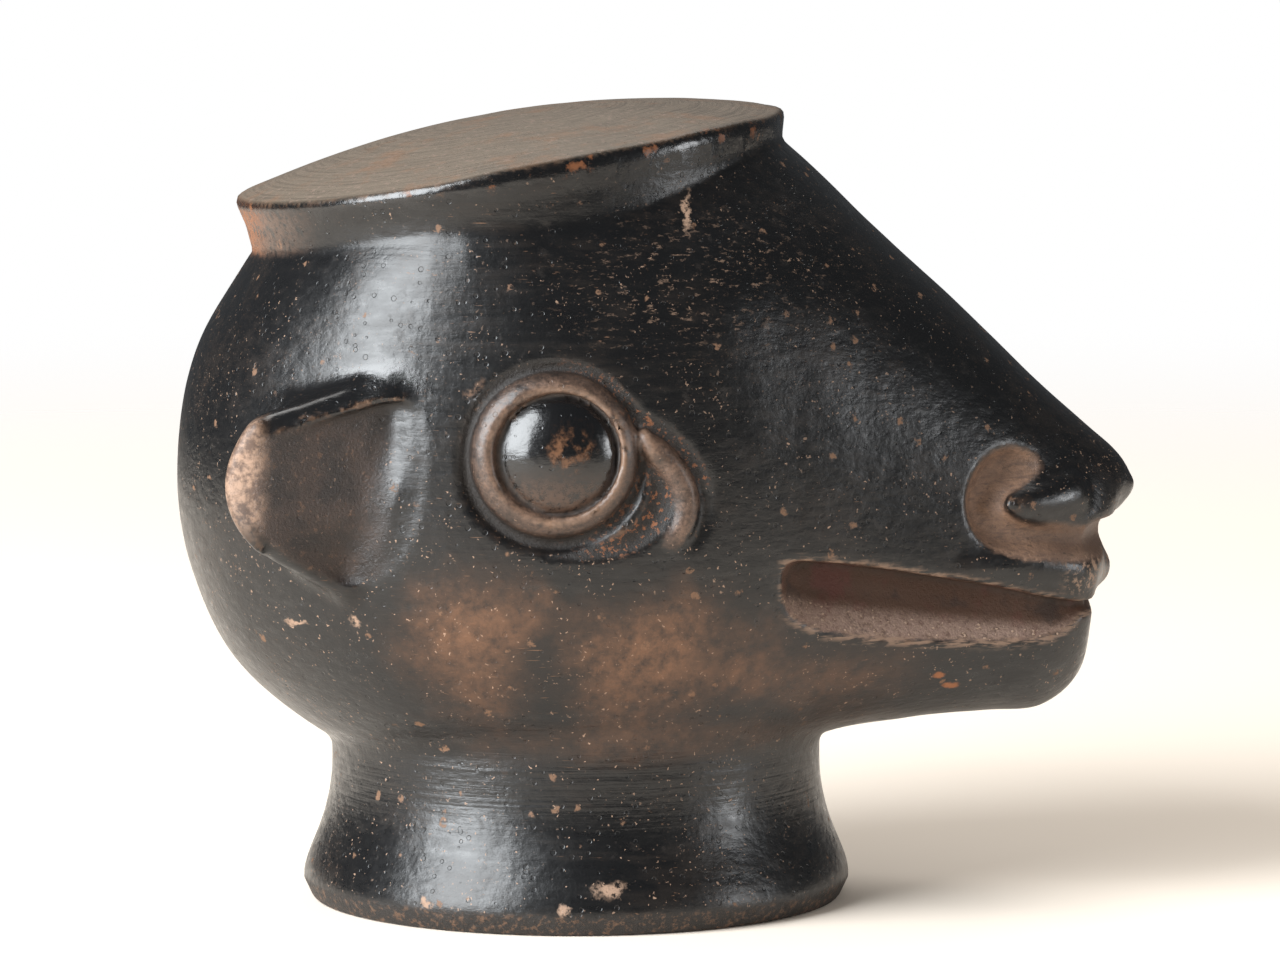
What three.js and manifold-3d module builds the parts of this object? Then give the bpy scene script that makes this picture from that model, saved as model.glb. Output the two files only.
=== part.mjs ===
import * as THREE from "three";
import { mergeVertices } from "three/addons/utils/BufferGeometryUtils.js";
import Module from "manifold-3d";

// Driving sizes of the jar, in millimetres and degrees

const HEAD_LENGTH = 250.5;
const HEAD_HEIGHT = 182;
const HEAD_HALF_WIDTH = 81;
const HEAD_WALL = 7;
const CHEEK_THICKNESS = 20;

const NECK_HEIGHT = 44;
const NECK_RADIUS = 64.2;
const NECK_WALL = 7;
const NECK_SET_BACK = 20.8;
const LIP_RADIUS = 71.8;
const LIP_HEIGHT = 5.2;
const LIP_BEVEL = 2.4;
const LIP_FLAT = 5;

const CROWN_RADIUS = 72.5;
const CROWN_RISE = 11;
const CROWN_TILT = 9.2;
const CROWN_HEIGHT = 195;
const CROWN_SET_BACK = 37.9;
const CROWN_THICKNESS = 9;
const COLLAR_HEIGHT = 13;
const COLLAR_FLARE = 2;
const COLLAR_EDGE = 1.6;
const SHOULDER_TILT = 3;
const CROWN_NARROWING = 0.12;

const EYE_RING_RADIUS = 18.3;
const EYE_RING_THICKNESS = 6.2;
const EYE_RING_PROUD = 0.6;
const EYEBALL_RADIUS = 17;
const EYEBALL_PROUD = 8;
const TEAR_WIDTH = 6.4;
const TEAR_PROUD = 0.8;

const EAR_LENGTH = 45;
const EAR_HEIGHT = 58;
const EAR_THICKNESS = 20;
const EAR_TURN = 7;
const EAR_PROUD = 1;
const EAR_DISH = 2.2;
const EAR_EDGE = 3.5;

const NOSE_WING_LENGTH = 28;
const NOSE_WING_HEIGHT = 23;
const NOSE_WING_WIDTH = 25;
const NOSTRIL_RADIUS = 7.6;
const NOSTRIL_END_RADIUS = 2.6;
const NOSTRIL_DEPTH = 5;
const UPPER_LIP_THICKNESS = 11;

const MOUTH_DEPTH = 13;
const MOUTH_FRONT_DEPTH = 7;
const MOUTH_BACK_HEIGHT = 19.5;
const MOUTH_FRONT_HEIGHT = 9.5;

// How finely round shapes are divided

const HEAD_RINGS = 36;
const HEAD_SIDES = 36;
const CAVITY_RINGS = 14;
const CAVITY_SIDES = 16;
const TURNED_SIDES = 36;

// Proportions of the head, from its underside at the back: x and z as shares of its length and height,
// half width as a share of the greatest, widest as the share of the way up where the section is widest

const BACK_POLE = [0, 0.411];
const NOSE_POLE = [1, 0.385];
const STATIONS = [
  { top: [0.014, 0.566], bottom: [0.014, 0.275], half: 0.31, widest: 0.47, square: 2.0 },
  { top: [0.053, 0.690], bottom: [0.064, 0.138], half: 0.58, widest: 0.47, square: 2.05 },
  { top: [0.119, 0.813], bottom: [0.158, 0.034], half: 0.80, widest: 0.475, square: 2.15 },
  { top: [0.232, 0.936], bottom: [0.262, -0.028], half: 0.96, widest: 0.46, square: 2.3 },
  { top: [0.387, 1.006], bottom: [0.395, -0.070], half: 1.00, widest: 0.46, square: 2.45 },
  { top: [0.537, 0.992], bottom: [0.550, -0.060], half: 0.905, widest: 0.45, square: 2.35 },
  { top: [0.643, 0.876], bottom: [0.667, 0.032], half: 0.755, widest: 0.42, square: 2.3 },
  { top: [0.731, 0.763], bottom: [0.763, 0.058], half: 0.615, widest: 0.41, square: 2.35 },
  { top: [0.819, 0.651], bottom: [0.843, 0.068], half: 0.495, widest: 0.41, square: 2.35 },
  { top: [0.898, 0.546], bottom: [0.905, 0.076], half: 0.395, widest: 0.42, square: 2.35 },
  { top: [0.952, 0.480], bottom: [0.946, 0.128], half: 0.295, widest: 0.46, square: 2.3 },
  { top: [0.981, 0.444], bottom: [0.957, 0.226], half: 0.21, widest: 0.50, square: 2.2 },
  { top: [0.996, 0.414], bottom: [0.972, 0.330], half: 0.11, widest: 0.50, square: 2.1 },
];

// Places of the carving on the head's side, as shares of its length and height

const EYE_PLACE = [0.400, 0.490];
const EAR_ROOT = [0.2325, 0.440];
const TEAR_PATH = [
  [0.450, 0.545], [0.479, 0.514], [0.506, 0.475], [0.527, 0.436],
  [0.536, 0.407], [0.533, 0.381], [0.524, 0.362],
];
const NOSTRIL_PATH = [[0.866, 0.430], [0.851, 0.385], [0.865, 0.346], [0.900, 0.330], [0.946, 0.345]];
const NOSE_WING_PLACE = [0.932, 0.400];
const UPPER_LIP_PATH = [[0.825, 0.312], [0.868, 0.304], [0.918, 0.290], [0.953, 0.282]];
const MOUTH_BACK = [0.626, 0.318];
const MOUTH_FRONT = [0.950, 0.222];

const HEAD_UNDERSIDE = NECK_HEIGHT - HEAD_WALL;
const HEAD_BACK = -HEAD_LENGTH / 2;

const wasm = await Module();
wasm.setup();

const lerp = THREE.MathUtils.lerp;
const radians = THREE.MathUtils.degToRad;

// A place given as shares of the head becomes a point of its middle plane
function headPoint([x, z]) {
  return new THREE.Vector3(HEAD_BACK + x * HEAD_LENGTH, 0, HEAD_UNDERSIDE + z * HEAD_HEIGHT);
}

// A closed three.js mesh becomes a solid that can be joined and cut
function solid(geometry) {
  const plain = geometry.clone();
  plain.deleteAttribute("normal");
  plain.deleteAttribute("uv");
  const merged = mergeVertices(plain, 1e-4);
  const mesh = new wasm.Mesh({
    numProp: 3,
    vertProperties: new Float32Array(merged.attributes.position.array),
    triVerts: new Uint32Array(merged.index.array),
  });
  return new wasm.Manifold(mesh);
}

// A solid becomes a three.js mesh geometry again
function geometryOf(manifold) {
  const mesh = manifold.getMesh();
  const geometry = new THREE.BufferGeometry();
  geometry.setAttribute("position", new THREE.BufferAttribute(new Float32Array(mesh.vertProperties), 3));
  geometry.setIndex(new THREE.BufferAttribute(new Uint32Array(mesh.triVerts), 1));
  geometry.computeVertexNormals();
  return geometry;
}

// Skins a row of rings of equal length, closed by a point at each end
function skin(start, rings, end) {
  const sides = rings[0].length;
  const points = [start, ...rings.flat(), end];
  const last = points.length - 1;
  const triangles = [];
  for (let side = 0; side < sides; side += 1) {
    const next = (side + 1) % sides;
    triangles.push(0, 1 + side, 1 + next);
    for (let ring = 0; ring + 1 < rings.length; ring += 1) {
      const near = 1 + ring * sides;
      const far = near + sides;
      triangles.push(near + side, far + side, far + next);
      triangles.push(near + side, far + next, near + next);
    }
    const final = last - sides;
    triangles.push(final + side, last, final + next);
  }
  const geometry = new THREE.BufferGeometry().setFromPoints(points);
  geometry.setIndex(triangles);
  return geometry;
}

// A closed line of points in the middle plane, each moved inward square to the line through its neighbours
function drawnInside(points, wall) {
  const count = points.length;
  return points.map((point, index) => {
    const along = points[(index + 1) % count].clone().sub(points[(index + count - 1) % count]);
    return new THREE.Vector3(along.z, 0, -along.x).setLength(wall).add(point);
  });
}

// The head's stations as points, with the wall taken off for the hollow inside
function stationPoints(wall, cheek) {
  const tops = STATIONS.map((station) => headPoint(station.top));
  const bottoms = STATIONS.map((station) => headPoint(station.bottom)).reverse();
  const round = [headPoint(BACK_POLE), ...tops, headPoint(NOSE_POLE), ...bottoms];
  const inside = wall > 0 ? drawnInside(round, wall) : round;
  return STATIONS.map((station, index) => {
    const top = inside[index + 1];
    const bottom = inside[round.length - 1 - index];
    const middle = bottom.clone().lerp(top, station.widest);
    const fullHalf = station.half * HEAD_HALF_WIDTH;
    const thinning = THREE.MathUtils.smoothstep(middle.x, 0, HEAD_LENGTH / 6);
    const half = Math.max(fullHalf - lerp(wall, cheek, thinning), fullHalf * 0.2);
    return { top, bottom, middle, half, square: station.square };
  });
}

// Rounded head form: a closed outline in the middle plane, swelled sideways ring by ring. Half widths run
// on past each pole with the other sign, so that the form closes round there
function headForm(stations, backPole, nosePole, ringCount, sides) {
  const tops = stations.map((station) => station.top);
  const bottoms = stations.map((station) => station.bottom).reverse();
  const round = [backPole, ...tops, nosePole, ...bottoms];
  const outline = new THREE.CatmullRomCurve3(round, true, "catmullrom", 0.5);
  const spans = stations.length + 1;
  const around = 2 * spans;
  const along = (values) => new THREE.CatmullRomCurve3(
    values.map((value, index) => new THREE.Vector3(index, value[0], value[1])), false, "catmullrom", 0.5);
  const first = stations[0];
  const final = stations[stations.length - 1];
  const shape = along([
    [-first.half, first.square], [0, first.square],
    ...stations.map((station) => [station.half, station.square]),
    [0, final.square], [-final.half, final.square],
  ]);
  const widestShare = ({ top, middle, bottom }) => bottom.distanceTo(middle) / bottom.distanceTo(top);
  const levels = along([
    [0.5, 0], [0.5, 0],
    ...stations.map((station) => [widestShare(station), 0]),
    [0.5, 0], [0.5, 0],
  ]);
  const rings = [];
  for (let index = 1; index < ringCount; index += 1) {
    const station = (index / ringCount) * spans;
    const top = outline.getPoint(station / around);
    const bottom = outline.getPoint((around - station) / around);
    const place = (station + 1) / (spans + 2);
    const { y: half, z: square } = shape.getPoint(place);
    const middle = bottom.clone().lerp(top, levels.getPoint(place).y);
    const power = 2 / square;
    const ring = [];
    for (let side = 0; side < sides; side += 1) {
      const angle = (2 * Math.PI * side) / sides;
      const rise = Math.cos(angle);
      const out = Math.sin(angle);
      const reach = Math.abs(rise) ** power;
      const point = middle.clone().lerp(rise > 0 ? top : bottom, reach);
      point.y = half * Math.sign(out) * Math.abs(out) ** power;
      ring.push(point);
    }
    rings.push(ring);
  }
  return skin(backPole, rings, nosePole);
}

function headSkin() {
  return headForm(stationPoints(0, 0), headPoint(BACK_POLE), headPoint(NOSE_POLE), HEAD_RINGS, HEAD_SIDES);
}

// The hollow of the head ends short of the nose, which is solid clay
function cavitySkin() {
  const stations = stationPoints(HEAD_WALL, CHEEK_THICKNESS).slice(0, -3);
  const back = headPoint(BACK_POLE);
  back.x += HEAD_WALL;
  const front = stations[stations.length - 1].middle.clone();
  front.x += CHEEK_THICKNESS / 4;
  return headForm(stations, back, front, CAVITY_RINGS, CAVITY_SIDES);
}

// A turned form about a vertical axis from points of radius and height
function turned(profile, sides = TURNED_SIDES) {
  const points = profile.map(([radius, height]) => new THREE.Vector2(radius, height));
  return new THREE.LatheGeometry(points, sides).rotateX(Math.PI / 2);
}

// The concave line of the neck from the lip up to its waist, as radius and height
function neckLine(lipRadius, lipTop, waistRadius, waistHeight) {
  const curve = new THREE.CubicBezierCurve(
    new THREE.Vector2(lipRadius, lipTop),
    new THREE.Vector2(lipRadius, lipTop + (waistHeight - lipTop) * 0.22),
    new THREE.Vector2(waistRadius, lipTop + (waistHeight - lipTop) * 0.45),
    new THREE.Vector2(waistRadius, waistHeight),
  );
  return curve.getPoints(6).map((point) => [point.x, point.y]);
}

function neck() {
  const line = neckLine(LIP_RADIUS, LIP_HEIGHT, NECK_RADIUS, NECK_HEIGHT - HEAD_WALL);
  const inside = HEAD_UNDERSIDE + HEAD_WALL * 2;
  return turned([
    [0, 0], [LIP_RADIUS - LIP_BEVEL, 0], ...line, [NECK_RADIUS, inside], [0, inside],
  ]).translate(-NECK_SET_BACK, 0, 0);
}

function neckBore() {
  const mouth = LIP_RADIUS - LIP_BEVEL - LIP_FLAT;
  const bore = NECK_RADIUS - NECK_WALL;
  const line = neckLine(mouth, LIP_HEIGHT / 2, bore, NECK_HEIGHT - HEAD_WALL);
  const top = HEAD_UNDERSIDE + HEAD_WALL * 3;
  return turned([[0, -1], [mouth, -1], ...line, [bore, top], [0, top]]).translate(-NECK_SET_BACK, 0, 0);
}

// The crown lies on its own tilted plane, which rises toward the snout
function onCrown(geometry) {
  return geometry.rotateY(-radians(CROWN_TILT)).translate(-CROWN_SET_BACK, 0, CROWN_HEIGHT);
}

function domePoints(radius, rise) {
  const steps = 5;
  return Array.from({ length: steps + 1 }, (_, step) => {
    const share = 1 - step / steps;
    return [radius * share, rise * (1 - share * share)];
  });
}

// The crown's round plan draws in toward the forehead
function drawnIn(geometry) {
  const places = geometry.attributes.position;
  for (let index = 0; index < places.count; index += 1) {
    const forward = THREE.MathUtils.smoothstep(places.getX(index), -CROWN_RADIUS * 0.3, CROWN_RADIUS * 0.8);
    places.setY(index, places.getY(index) * (1 - CROWN_NARROWING * forward));
  }
  return geometry;
}

function crown() {
  const base = CROWN_RADIUS - COLLAR_FLARE;
  return onCrown(drawnIn(turned([
    [0, -COLLAR_HEIGHT * 1.6], [base - COLLAR_FLARE, -COLLAR_HEIGHT * 1.6], [base, -COLLAR_HEIGHT],
    [CROWN_RADIUS - COLLAR_EDGE / 8, -COLLAR_EDGE], [CROWN_RADIUS, -COLLAR_EDGE * 0.4],
    ...domePoints(CROWN_RADIUS - COLLAR_EDGE * 0.4, CROWN_RISE),
  ])));
}

// Everything of the head's form that would stand above the collar's foot is cut away: the shoulder
// covers more of the collar at the forehead than at the back
function aboveCollar() {
  const height = HEAD_HEIGHT;
  return onCrown(new THREE.BoxGeometry(HEAD_LENGTH * 1.5, HEAD_HALF_WIDTH * 3, height)
    .translate(0, 0, height / 2 - COLLAR_HEIGHT * 0.7).rotateY(-radians(SHOULDER_TILT)));
}

// The hollow's ceiling is a dome that follows the crown, lower by the crown's own thickness
function aboveCavity() {
  const ceiling = domePoints(CROWN_RADIUS, CROWN_RISE).reverse();
  const wide = HEAD_LENGTH;
  return onCrown(turned([
    ...ceiling.map(([radius, height]) => [radius, height - CROWN_THICKNESS]),
    [wide, -CROWN_THICKNESS], [wide, wide], [0, wide],
  ]));
}

// Where a line across the head meets its near side, and how the surface faces there
const headMesh = new THREE.Mesh(headSkin(), new THREE.MeshBasicMaterial({ side: THREE.DoubleSide }));
headMesh.updateMatrixWorld();

function onHead(point) {
  const origin = new THREE.Vector3(point.x, -HEAD_LENGTH, point.z);
  const hits = new THREE.Raycaster(origin, new THREE.Vector3(0, 1, 0)).intersectObject(headMesh);
  if (hits.length === 0) {
    return new THREE.Vector3(point.x, 0, point.z);
  }
  return hits[0].point;
}

function facing(point) {
  const step = HEAD_LENGTH / 40;
  const across = onHead(point.clone().setX(point.x + step)).sub(onHead(point.clone().setX(point.x - step)));
  const upward = onHead(point.clone().setZ(point.z + step)).sub(onHead(point.clone().setZ(point.z - step)));
  return across.cross(upward).normalize();
}

// Stands a form made around the Z axis on the head's side, its axis along the surface's facing
function stoodOnHead(geometry, place, proud) {
  const point = onHead(headPoint(place));
  const out = facing(point);
  const turn = new THREE.Quaternion().setFromUnitVectors(new THREE.Vector3(0, 0, 1), out);
  const seat = point.addScaledVector(out, proud);
  return geometry.applyQuaternion(turn).translate(seat.x, seat.y, seat.z);
}

function eyeRing() {
  const half = EYE_RING_THICKNESS / 2;
  return stoodOnHead(new THREE.TorusGeometry(EYE_RING_RADIUS, half, 8, 22), EYE_PLACE, EYE_RING_PROUD);
}

function eyeball() {
  const ball = new THREE.SphereGeometry(EYEBALL_RADIUS, 16, 8).rotateX(Math.PI / 2);
  return stoodOnHead(ball, EYE_PLACE, EYEBALL_PROUD - EYEBALL_RADIUS);
}

// A round bar that follows a curve, with its own radius at each step and rounded ends
function bar(curve, radiusAt, steps = 16, sides = 8) {
  const frames = curve.computeFrenetFrames(steps, false);
  const ends = [0, 1].map((share) => curve.getPointAt(share));
  const tangents = [0, 1].map((share) => curve.getTangentAt(share));
  const rings = [];
  for (let step = 0; step <= steps; step += 1) {
    const share = step / steps;
    const centre = curve.getPointAt(share);
    const radius = radiusAt(share);
    const ring = Array.from({ length: sides }, (_, side) => {
      const angle = (2 * Math.PI * side) / sides;
      return centre.clone()
        .addScaledVector(frames.normals[step], radius * Math.cos(angle))
        .addScaledVector(frames.binormals[step], radius * Math.sin(angle));
    });
    rings.push(ring);
  }
  const start = ends[0].clone().addScaledVector(tangents[0], -radiusAt(0) * 0.7);
  const end = ends[1].clone().addScaledVector(tangents[1], radiusAt(1) * 0.7);
  return skin(start, rings.map((ring) => ring.reverse()), end);
}

function onHeadCurve(places, proud) {
  return new THREE.CatmullRomCurve3(places.map((place) => {
    const point = onHead(headPoint(place));
    return point.addScaledVector(facing(point), proud);
  }));
}

function tearRidge() {
  return bar(onHeadCurve(TEAR_PATH, TEAR_PROUD), () => TEAR_WIDTH / 2);
}

function nostril() {
  const radiusAt = (share) => lerp(NOSTRIL_RADIUS, NOSTRIL_END_RADIUS, Math.sqrt(share));
  return bar(onHeadCurve(NOSTRIL_PATH, NOSTRIL_RADIUS - NOSTRIL_DEPTH), radiusAt, 12, 10);
}

function noseWing() {
  const centre = onHead(headPoint(NOSE_WING_PLACE));
  return new THREE.SphereGeometry(0.5, 14, 8)
    .scale(NOSE_WING_LENGTH, NOSE_WING_WIDTH, NOSE_WING_HEIGHT)
    .translate(centre.x, centre.y + NOSE_WING_WIDTH * 0.34, centre.z);
}

// The upper lip is one roll around the front of the muzzle
function upperLip() {
  const near = UPPER_LIP_PATH.map((place) => onHead(headPoint(place)));
  const inward = UPPER_LIP_THICKNESS * 0.25;
  near.forEach((point) => point.setY(point.y + inward));
  const front = near[near.length - 1].clone().setY(0);
  front.x += UPPER_LIP_THICKNESS * 0.12;
  const far = near.slice().reverse().map((point) => point.clone().setY(-point.y));
  const curve = new THREE.CatmullRomCurve3([...near, front, ...far]);
  const radiusAt = (share) => (UPPER_LIP_THICKNESS / 2) * lerp(0.35, 1, Math.sin(Math.PI * share));
  return bar(curve, radiusAt, 22, 10);
}

// The ear is a thick flap, tall at its root and rounded at its free edge, with a shallow dish in its face
function ear() {
  const back = (share) => -share * EAR_LENGTH;
  const up = (share) => share * EAR_HEIGHT;
  const rootDepth = EAR_EDGE * 2;
  const outline = new THREE.Shape();
  outline.moveTo(rootDepth, up(-0.46));
  outline.lineTo(rootDepth, up(0.5));
  outline.lineTo(0, up(0.5));
  outline.quadraticCurveTo(back(0.5), up(0.47), back(0.84), up(0.27));
  outline.quadraticCurveTo(back(1.03), up(0.17), back(1), 0);
  outline.quadraticCurveTo(back(0.99), up(-0.2), back(0.8), up(-0.36));
  outline.quadraticCurveTo(back(0.6), up(-0.52), back(0.27), up(-0.52));
  outline.lineTo(0, up(-0.46));
  const flap = new THREE.ExtrudeGeometry(outline, {
    depth: EAR_THICKNESS - 2 * EAR_EDGE, curveSegments: 4, bevelEnabled: true,
    bevelThickness: EAR_EDGE, bevelSize: EAR_EDGE, bevelOffset: -EAR_EDGE, bevelSegments: 2,
  });
  const face = EAR_THICKNESS - EAR_EDGE;
  const dish = new THREE.SphereGeometry(1, 14, 8)
    .scale(EAR_LENGTH * 0.4, EAR_HEIGHT * 0.34, EAR_DISH * 2)
    .translate(back(0.45), 0, face + EAR_DISH);
  const shaped = geometryOf(solid(flap).subtract(solid(dish)));
  const seat = onHead(headPoint(EAR_ROOT));
  return shaped.rotateX(Math.PI / 2).rotateZ(radians(EAR_TURN))
    .translate(seat.x, seat.y + face - EAR_PROUD, seat.z);
}

// The mouth is a slot around the muzzle, tall at its back corner and low in front
function mouth() {
  const back = headPoint(MOUTH_BACK);
  const front = headPoint(MOUTH_FRONT);
  const reach = HEAD_HALF_WIDTH;
  const length = front.x - back.x;
  const innerWall = [0, 0.2, 0.4, 0.6, 0.8, 0.92].map((share) => {
    const point = onHead(new THREE.Vector3(back.x + share * length, 0, lerp(back.z, front.z, share)));
    const depth = lerp(MOUTH_DEPTH, MOUTH_FRONT_DEPTH, share * share);
    return new THREE.Vector2(point.x, point.y + depth);
  });
  const tip = new THREE.Vector2(front.x + MOUTH_FRONT_DEPTH * 0.1, 0);
  const near = [...innerWall];
  const far = innerWall.slice().reverse().map((point) => new THREE.Vector2(point.x, -point.y));
  const inside = new THREE.SplineCurve([...near, tip, ...far]).getPoints(30);
  const plan = new THREE.Shape([
    new THREE.Vector2(back.x, -reach), new THREE.Vector2(HEAD_LENGTH, -reach),
    new THREE.Vector2(HEAD_LENGTH, reach), new THREE.Vector2(back.x, reach), ...inside.reverse(),
  ]);
  const slot = new THREE.ExtrudeGeometry(plan, { depth: 1, bevelEnabled: false });
  const places = slot.attributes.position;
  for (let index = 0; index < places.count; index += 1) {
    const share = (places.getX(index) - back.x) / length;
    const height = lerp(MOUTH_BACK_HEIGHT, MOUTH_FRONT_HEIGHT, share);
    const top = lerp(back.z, front.z, share);
    places.setZ(index, top - height * (1 - places.getZ(index)));
  }
  return slot;
}

// The same form on the other side of the head
function mirrored(manifold) {
  const geometry = geometryOf(manifold).scale(1, -1, 1);
  const order = geometry.index.array;
  for (let index = 0; index < order.length; index += 3) {
    [order[index], order[index + 1]] = [order[index + 1], order[index]];
  }
  return solid(geometry);
}

function jar() {
  const side = [eyeRing(), eyeball(), tearRidge(), ear(), noseWing()].map(solid)
    .reduce((whole, piece) => whole.add(piece));
  const cut = solid(nostril());
  return solid(headMesh.geometry)
    .subtract(solid(aboveCollar()))
    .add(solid(crown()))
    .add(side)
    .add(mirrored(side))
    .add(solid(upperLip()))
    .subtract(solid(mouth()))
    .subtract(cut)
    .subtract(mirrored(cut))
    .add(solid(neck()))
    .subtract(solid(cavitySkin()).subtract(solid(aboveCavity())))
    .subtract(solid(neckBore()));
}

// The origin is below the middle of the jar, on the surface that it stands on
function seated(geometry) {
  geometry.computeBoundingBox();
  const middle = geometry.boundingBox.getCenter(new THREE.Vector3());
  return geometry.translate(-middle.x, -middle.y, -geometry.boundingBox.min.z);
}

const blackClay = new THREE.MeshStandardMaterial({ color: 0x1d1c1d, roughness: 0.34, metalness: 0 });

const zoomorphicJar = new THREE.Mesh(seated(geometryOf(jar())), blackClay);
zoomorphicJar.name = "zoomorphic_jar";

const part = new THREE.Group();
part.add(zoomorphicJar);

export default part;
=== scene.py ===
import logging
import math
from dataclasses import dataclass, field
from enum import Enum
from typing import Callable, Sequence

import bpy
import numpy as np
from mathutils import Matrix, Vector
from mathutils.bvhtree import BVHTree


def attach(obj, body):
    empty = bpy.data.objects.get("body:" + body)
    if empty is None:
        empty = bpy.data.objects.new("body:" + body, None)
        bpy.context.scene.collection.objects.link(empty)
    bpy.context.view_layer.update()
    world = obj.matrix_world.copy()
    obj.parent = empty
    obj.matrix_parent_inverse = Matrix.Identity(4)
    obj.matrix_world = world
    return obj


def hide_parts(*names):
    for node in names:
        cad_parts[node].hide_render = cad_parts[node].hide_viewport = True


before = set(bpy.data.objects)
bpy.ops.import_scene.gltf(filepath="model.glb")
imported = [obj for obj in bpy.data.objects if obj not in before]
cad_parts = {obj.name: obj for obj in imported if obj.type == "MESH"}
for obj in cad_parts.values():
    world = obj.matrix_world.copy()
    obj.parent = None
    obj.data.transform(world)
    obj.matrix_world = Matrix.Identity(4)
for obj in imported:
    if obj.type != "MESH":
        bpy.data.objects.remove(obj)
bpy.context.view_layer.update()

# The jar is modelled in millimetres: X runs from the nape to the snout, Z stands up from the table, and Y
# runs across the head. Both sides have the same form, so shapes are worked out from the distance to the
# middle plane. Blender's own unit is the metre.

METRE = 0.001
LOG = logging.getLogger("zoomorphic_jar")

HEAD_LENGTH = 250.5
HEAD_HEIGHT = 182.0
HEAD_HALF_WIDTH = 81.0
HEAD_WALL = 7.0
CHEEK_THICKNESS = 20.0
HEAD_UNDERSIDE = 37.0
HEAD_BACK = -HEAD_LENGTH / 2

# Farther out sideways than the jar reaches, and the distance to the ring's slanting wall as a share of the
# level gap

FAR_OUT = 400.0
SLANT = 0.94

# Shares of the head's length and height: top and bottom of each section, its half width, where it is
# widest and how square it is

BACK_POLE = (0.0, 0.411)
NOSE_POLE = (1.0, 0.385)
STATIONS = (
    ((0.014, 0.566), (0.014, 0.275), 0.31, 0.470, 2.00),
    ((0.053, 0.690), (0.064, 0.138), 0.58, 0.470, 2.05),
    ((0.119, 0.813), (0.158, 0.034), 0.80, 0.475, 2.15),
    ((0.232, 0.936), (0.262, -0.028), 0.96, 0.460, 2.30),
    ((0.387, 1.006), (0.395, -0.070), 1.00, 0.460, 2.45),
    ((0.537, 0.992), (0.550, -0.060), 0.905, 0.450, 2.35),
    ((0.643, 0.876), (0.667, 0.032), 0.755, 0.420, 2.30),
    ((0.731, 0.763), (0.763, 0.058), 0.615, 0.410, 2.35),
    ((0.819, 0.651), (0.843, 0.068), 0.495, 0.410, 2.35),
    ((0.898, 0.546), (0.905, 0.076), 0.395, 0.420, 2.35),
    ((0.952, 0.480), (0.946, 0.128), 0.295, 0.460, 2.30),
    ((0.981, 0.444), (0.957, 0.226), 0.21, 0.500, 2.20),
    ((0.996, 0.414), (0.972, 0.330), 0.11, 0.500, 2.10),
)

Points = np.ndarray
Values = np.ndarray


def head_point(share: Sequence[float]) -> np.ndarray:
    """A place given as shares of the head's length and height, as a point of its middle plane.

    Args:
        share: How far along and how far up the head.

    Returns:
        The point as x, y and z.
    """
    return np.array([HEAD_BACK + share[0] * HEAD_LENGTH, 0.0, HEAD_UNDERSIDE + share[1] * HEAD_HEIGHT])


def smooth_step(value: Values, start: float, end: float) -> Values:
    """Ease from nought at start to one at end.

    Args:
        value: What is eased.
        start: Where the rise begins.
        end: Where it is complete.

    Returns:
        The share of the rise.
    """
    share = np.clip((value - start) / (end - start), 0.0, 1.0)
    return share * share * (3.0 - 2.0 * share)


def join(first: Values, second: Values, blend: float) -> Values:
    """Union of two distance fields with a fillet.

    Args:
        first: Distances to one form.
        second: Distances to the other.
        blend: Width of the fillet.

    Returns:
        Distances to both as one form.
    """
    share = np.clip(0.5 + 0.5 * (second - first) / blend, 0.0, 1.0)
    return second + (first - second) * share - blend * share * (1.0 - share)


def cut(body: Values, tool: Values, blend: float) -> Values:
    """Take one form away from another, with a rounded edge.

    Args:
        body: Distances to what is carved.
        tool: Distances to what is taken away.
        blend: Width of the rounding.

    Returns:
        Distances to what is left.
    """
    return -join(-body, tool, blend)


def overlap(first: Values, second: Values, blend: float) -> Values:
    """What two forms have in common, with a rounded edge.

    Args:
        first: Distances to one form.
        second: Distances to the other.
        blend: Width of the rounding.

    Returns:
        Distances to the common part.
    """
    return -join(-first, -second, blend)


def folded(points: Points) -> Points:
    """Bring points over to the far side of the middle plane.

    Args:
        points: On either side.

    Returns:
        Their mirror images where they were on the near side.
    """
    return np.column_stack([points[:, 0], np.abs(points[:, 1]), points[:, 2]])


def spline(values: np.ndarray, places: np.ndarray, closed: bool) -> np.ndarray:
    """Uniform Catmull-Rom curve through evenly numbered values.

    Args:
        values: One row for each knot.
        places: Where to read the curve, in knots.
        closed: Whether the last knot leads back to the first.

    Returns:
        One row for each place.
    """
    count = len(values)
    knot = np.floor(places).astype(int)
    if not closed:
        knot = np.clip(knot, 0, count - 2)
    share = (places - knot)[:, None]
    if closed:
        rows = [values[(knot + shift) % count] for shift in (-1, 0, 1, 2)]
    else:
        longer = np.vstack([2 * values[0] - values[1], values, 2 * values[-1] - values[-2]])
        rows = [longer[knot + shift] for shift in (0, 1, 2, 3)]
    before, start, end, after = rows
    slope_in, slope_out = (end - before) * 0.5, (after - start) * 0.5
    cubic = 2 * (start - end) + slope_in + slope_out
    square = 3 * (end - start) - 2 * slope_in - slope_out
    return start + share * (slope_in + share * (square + share * cubic))


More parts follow.
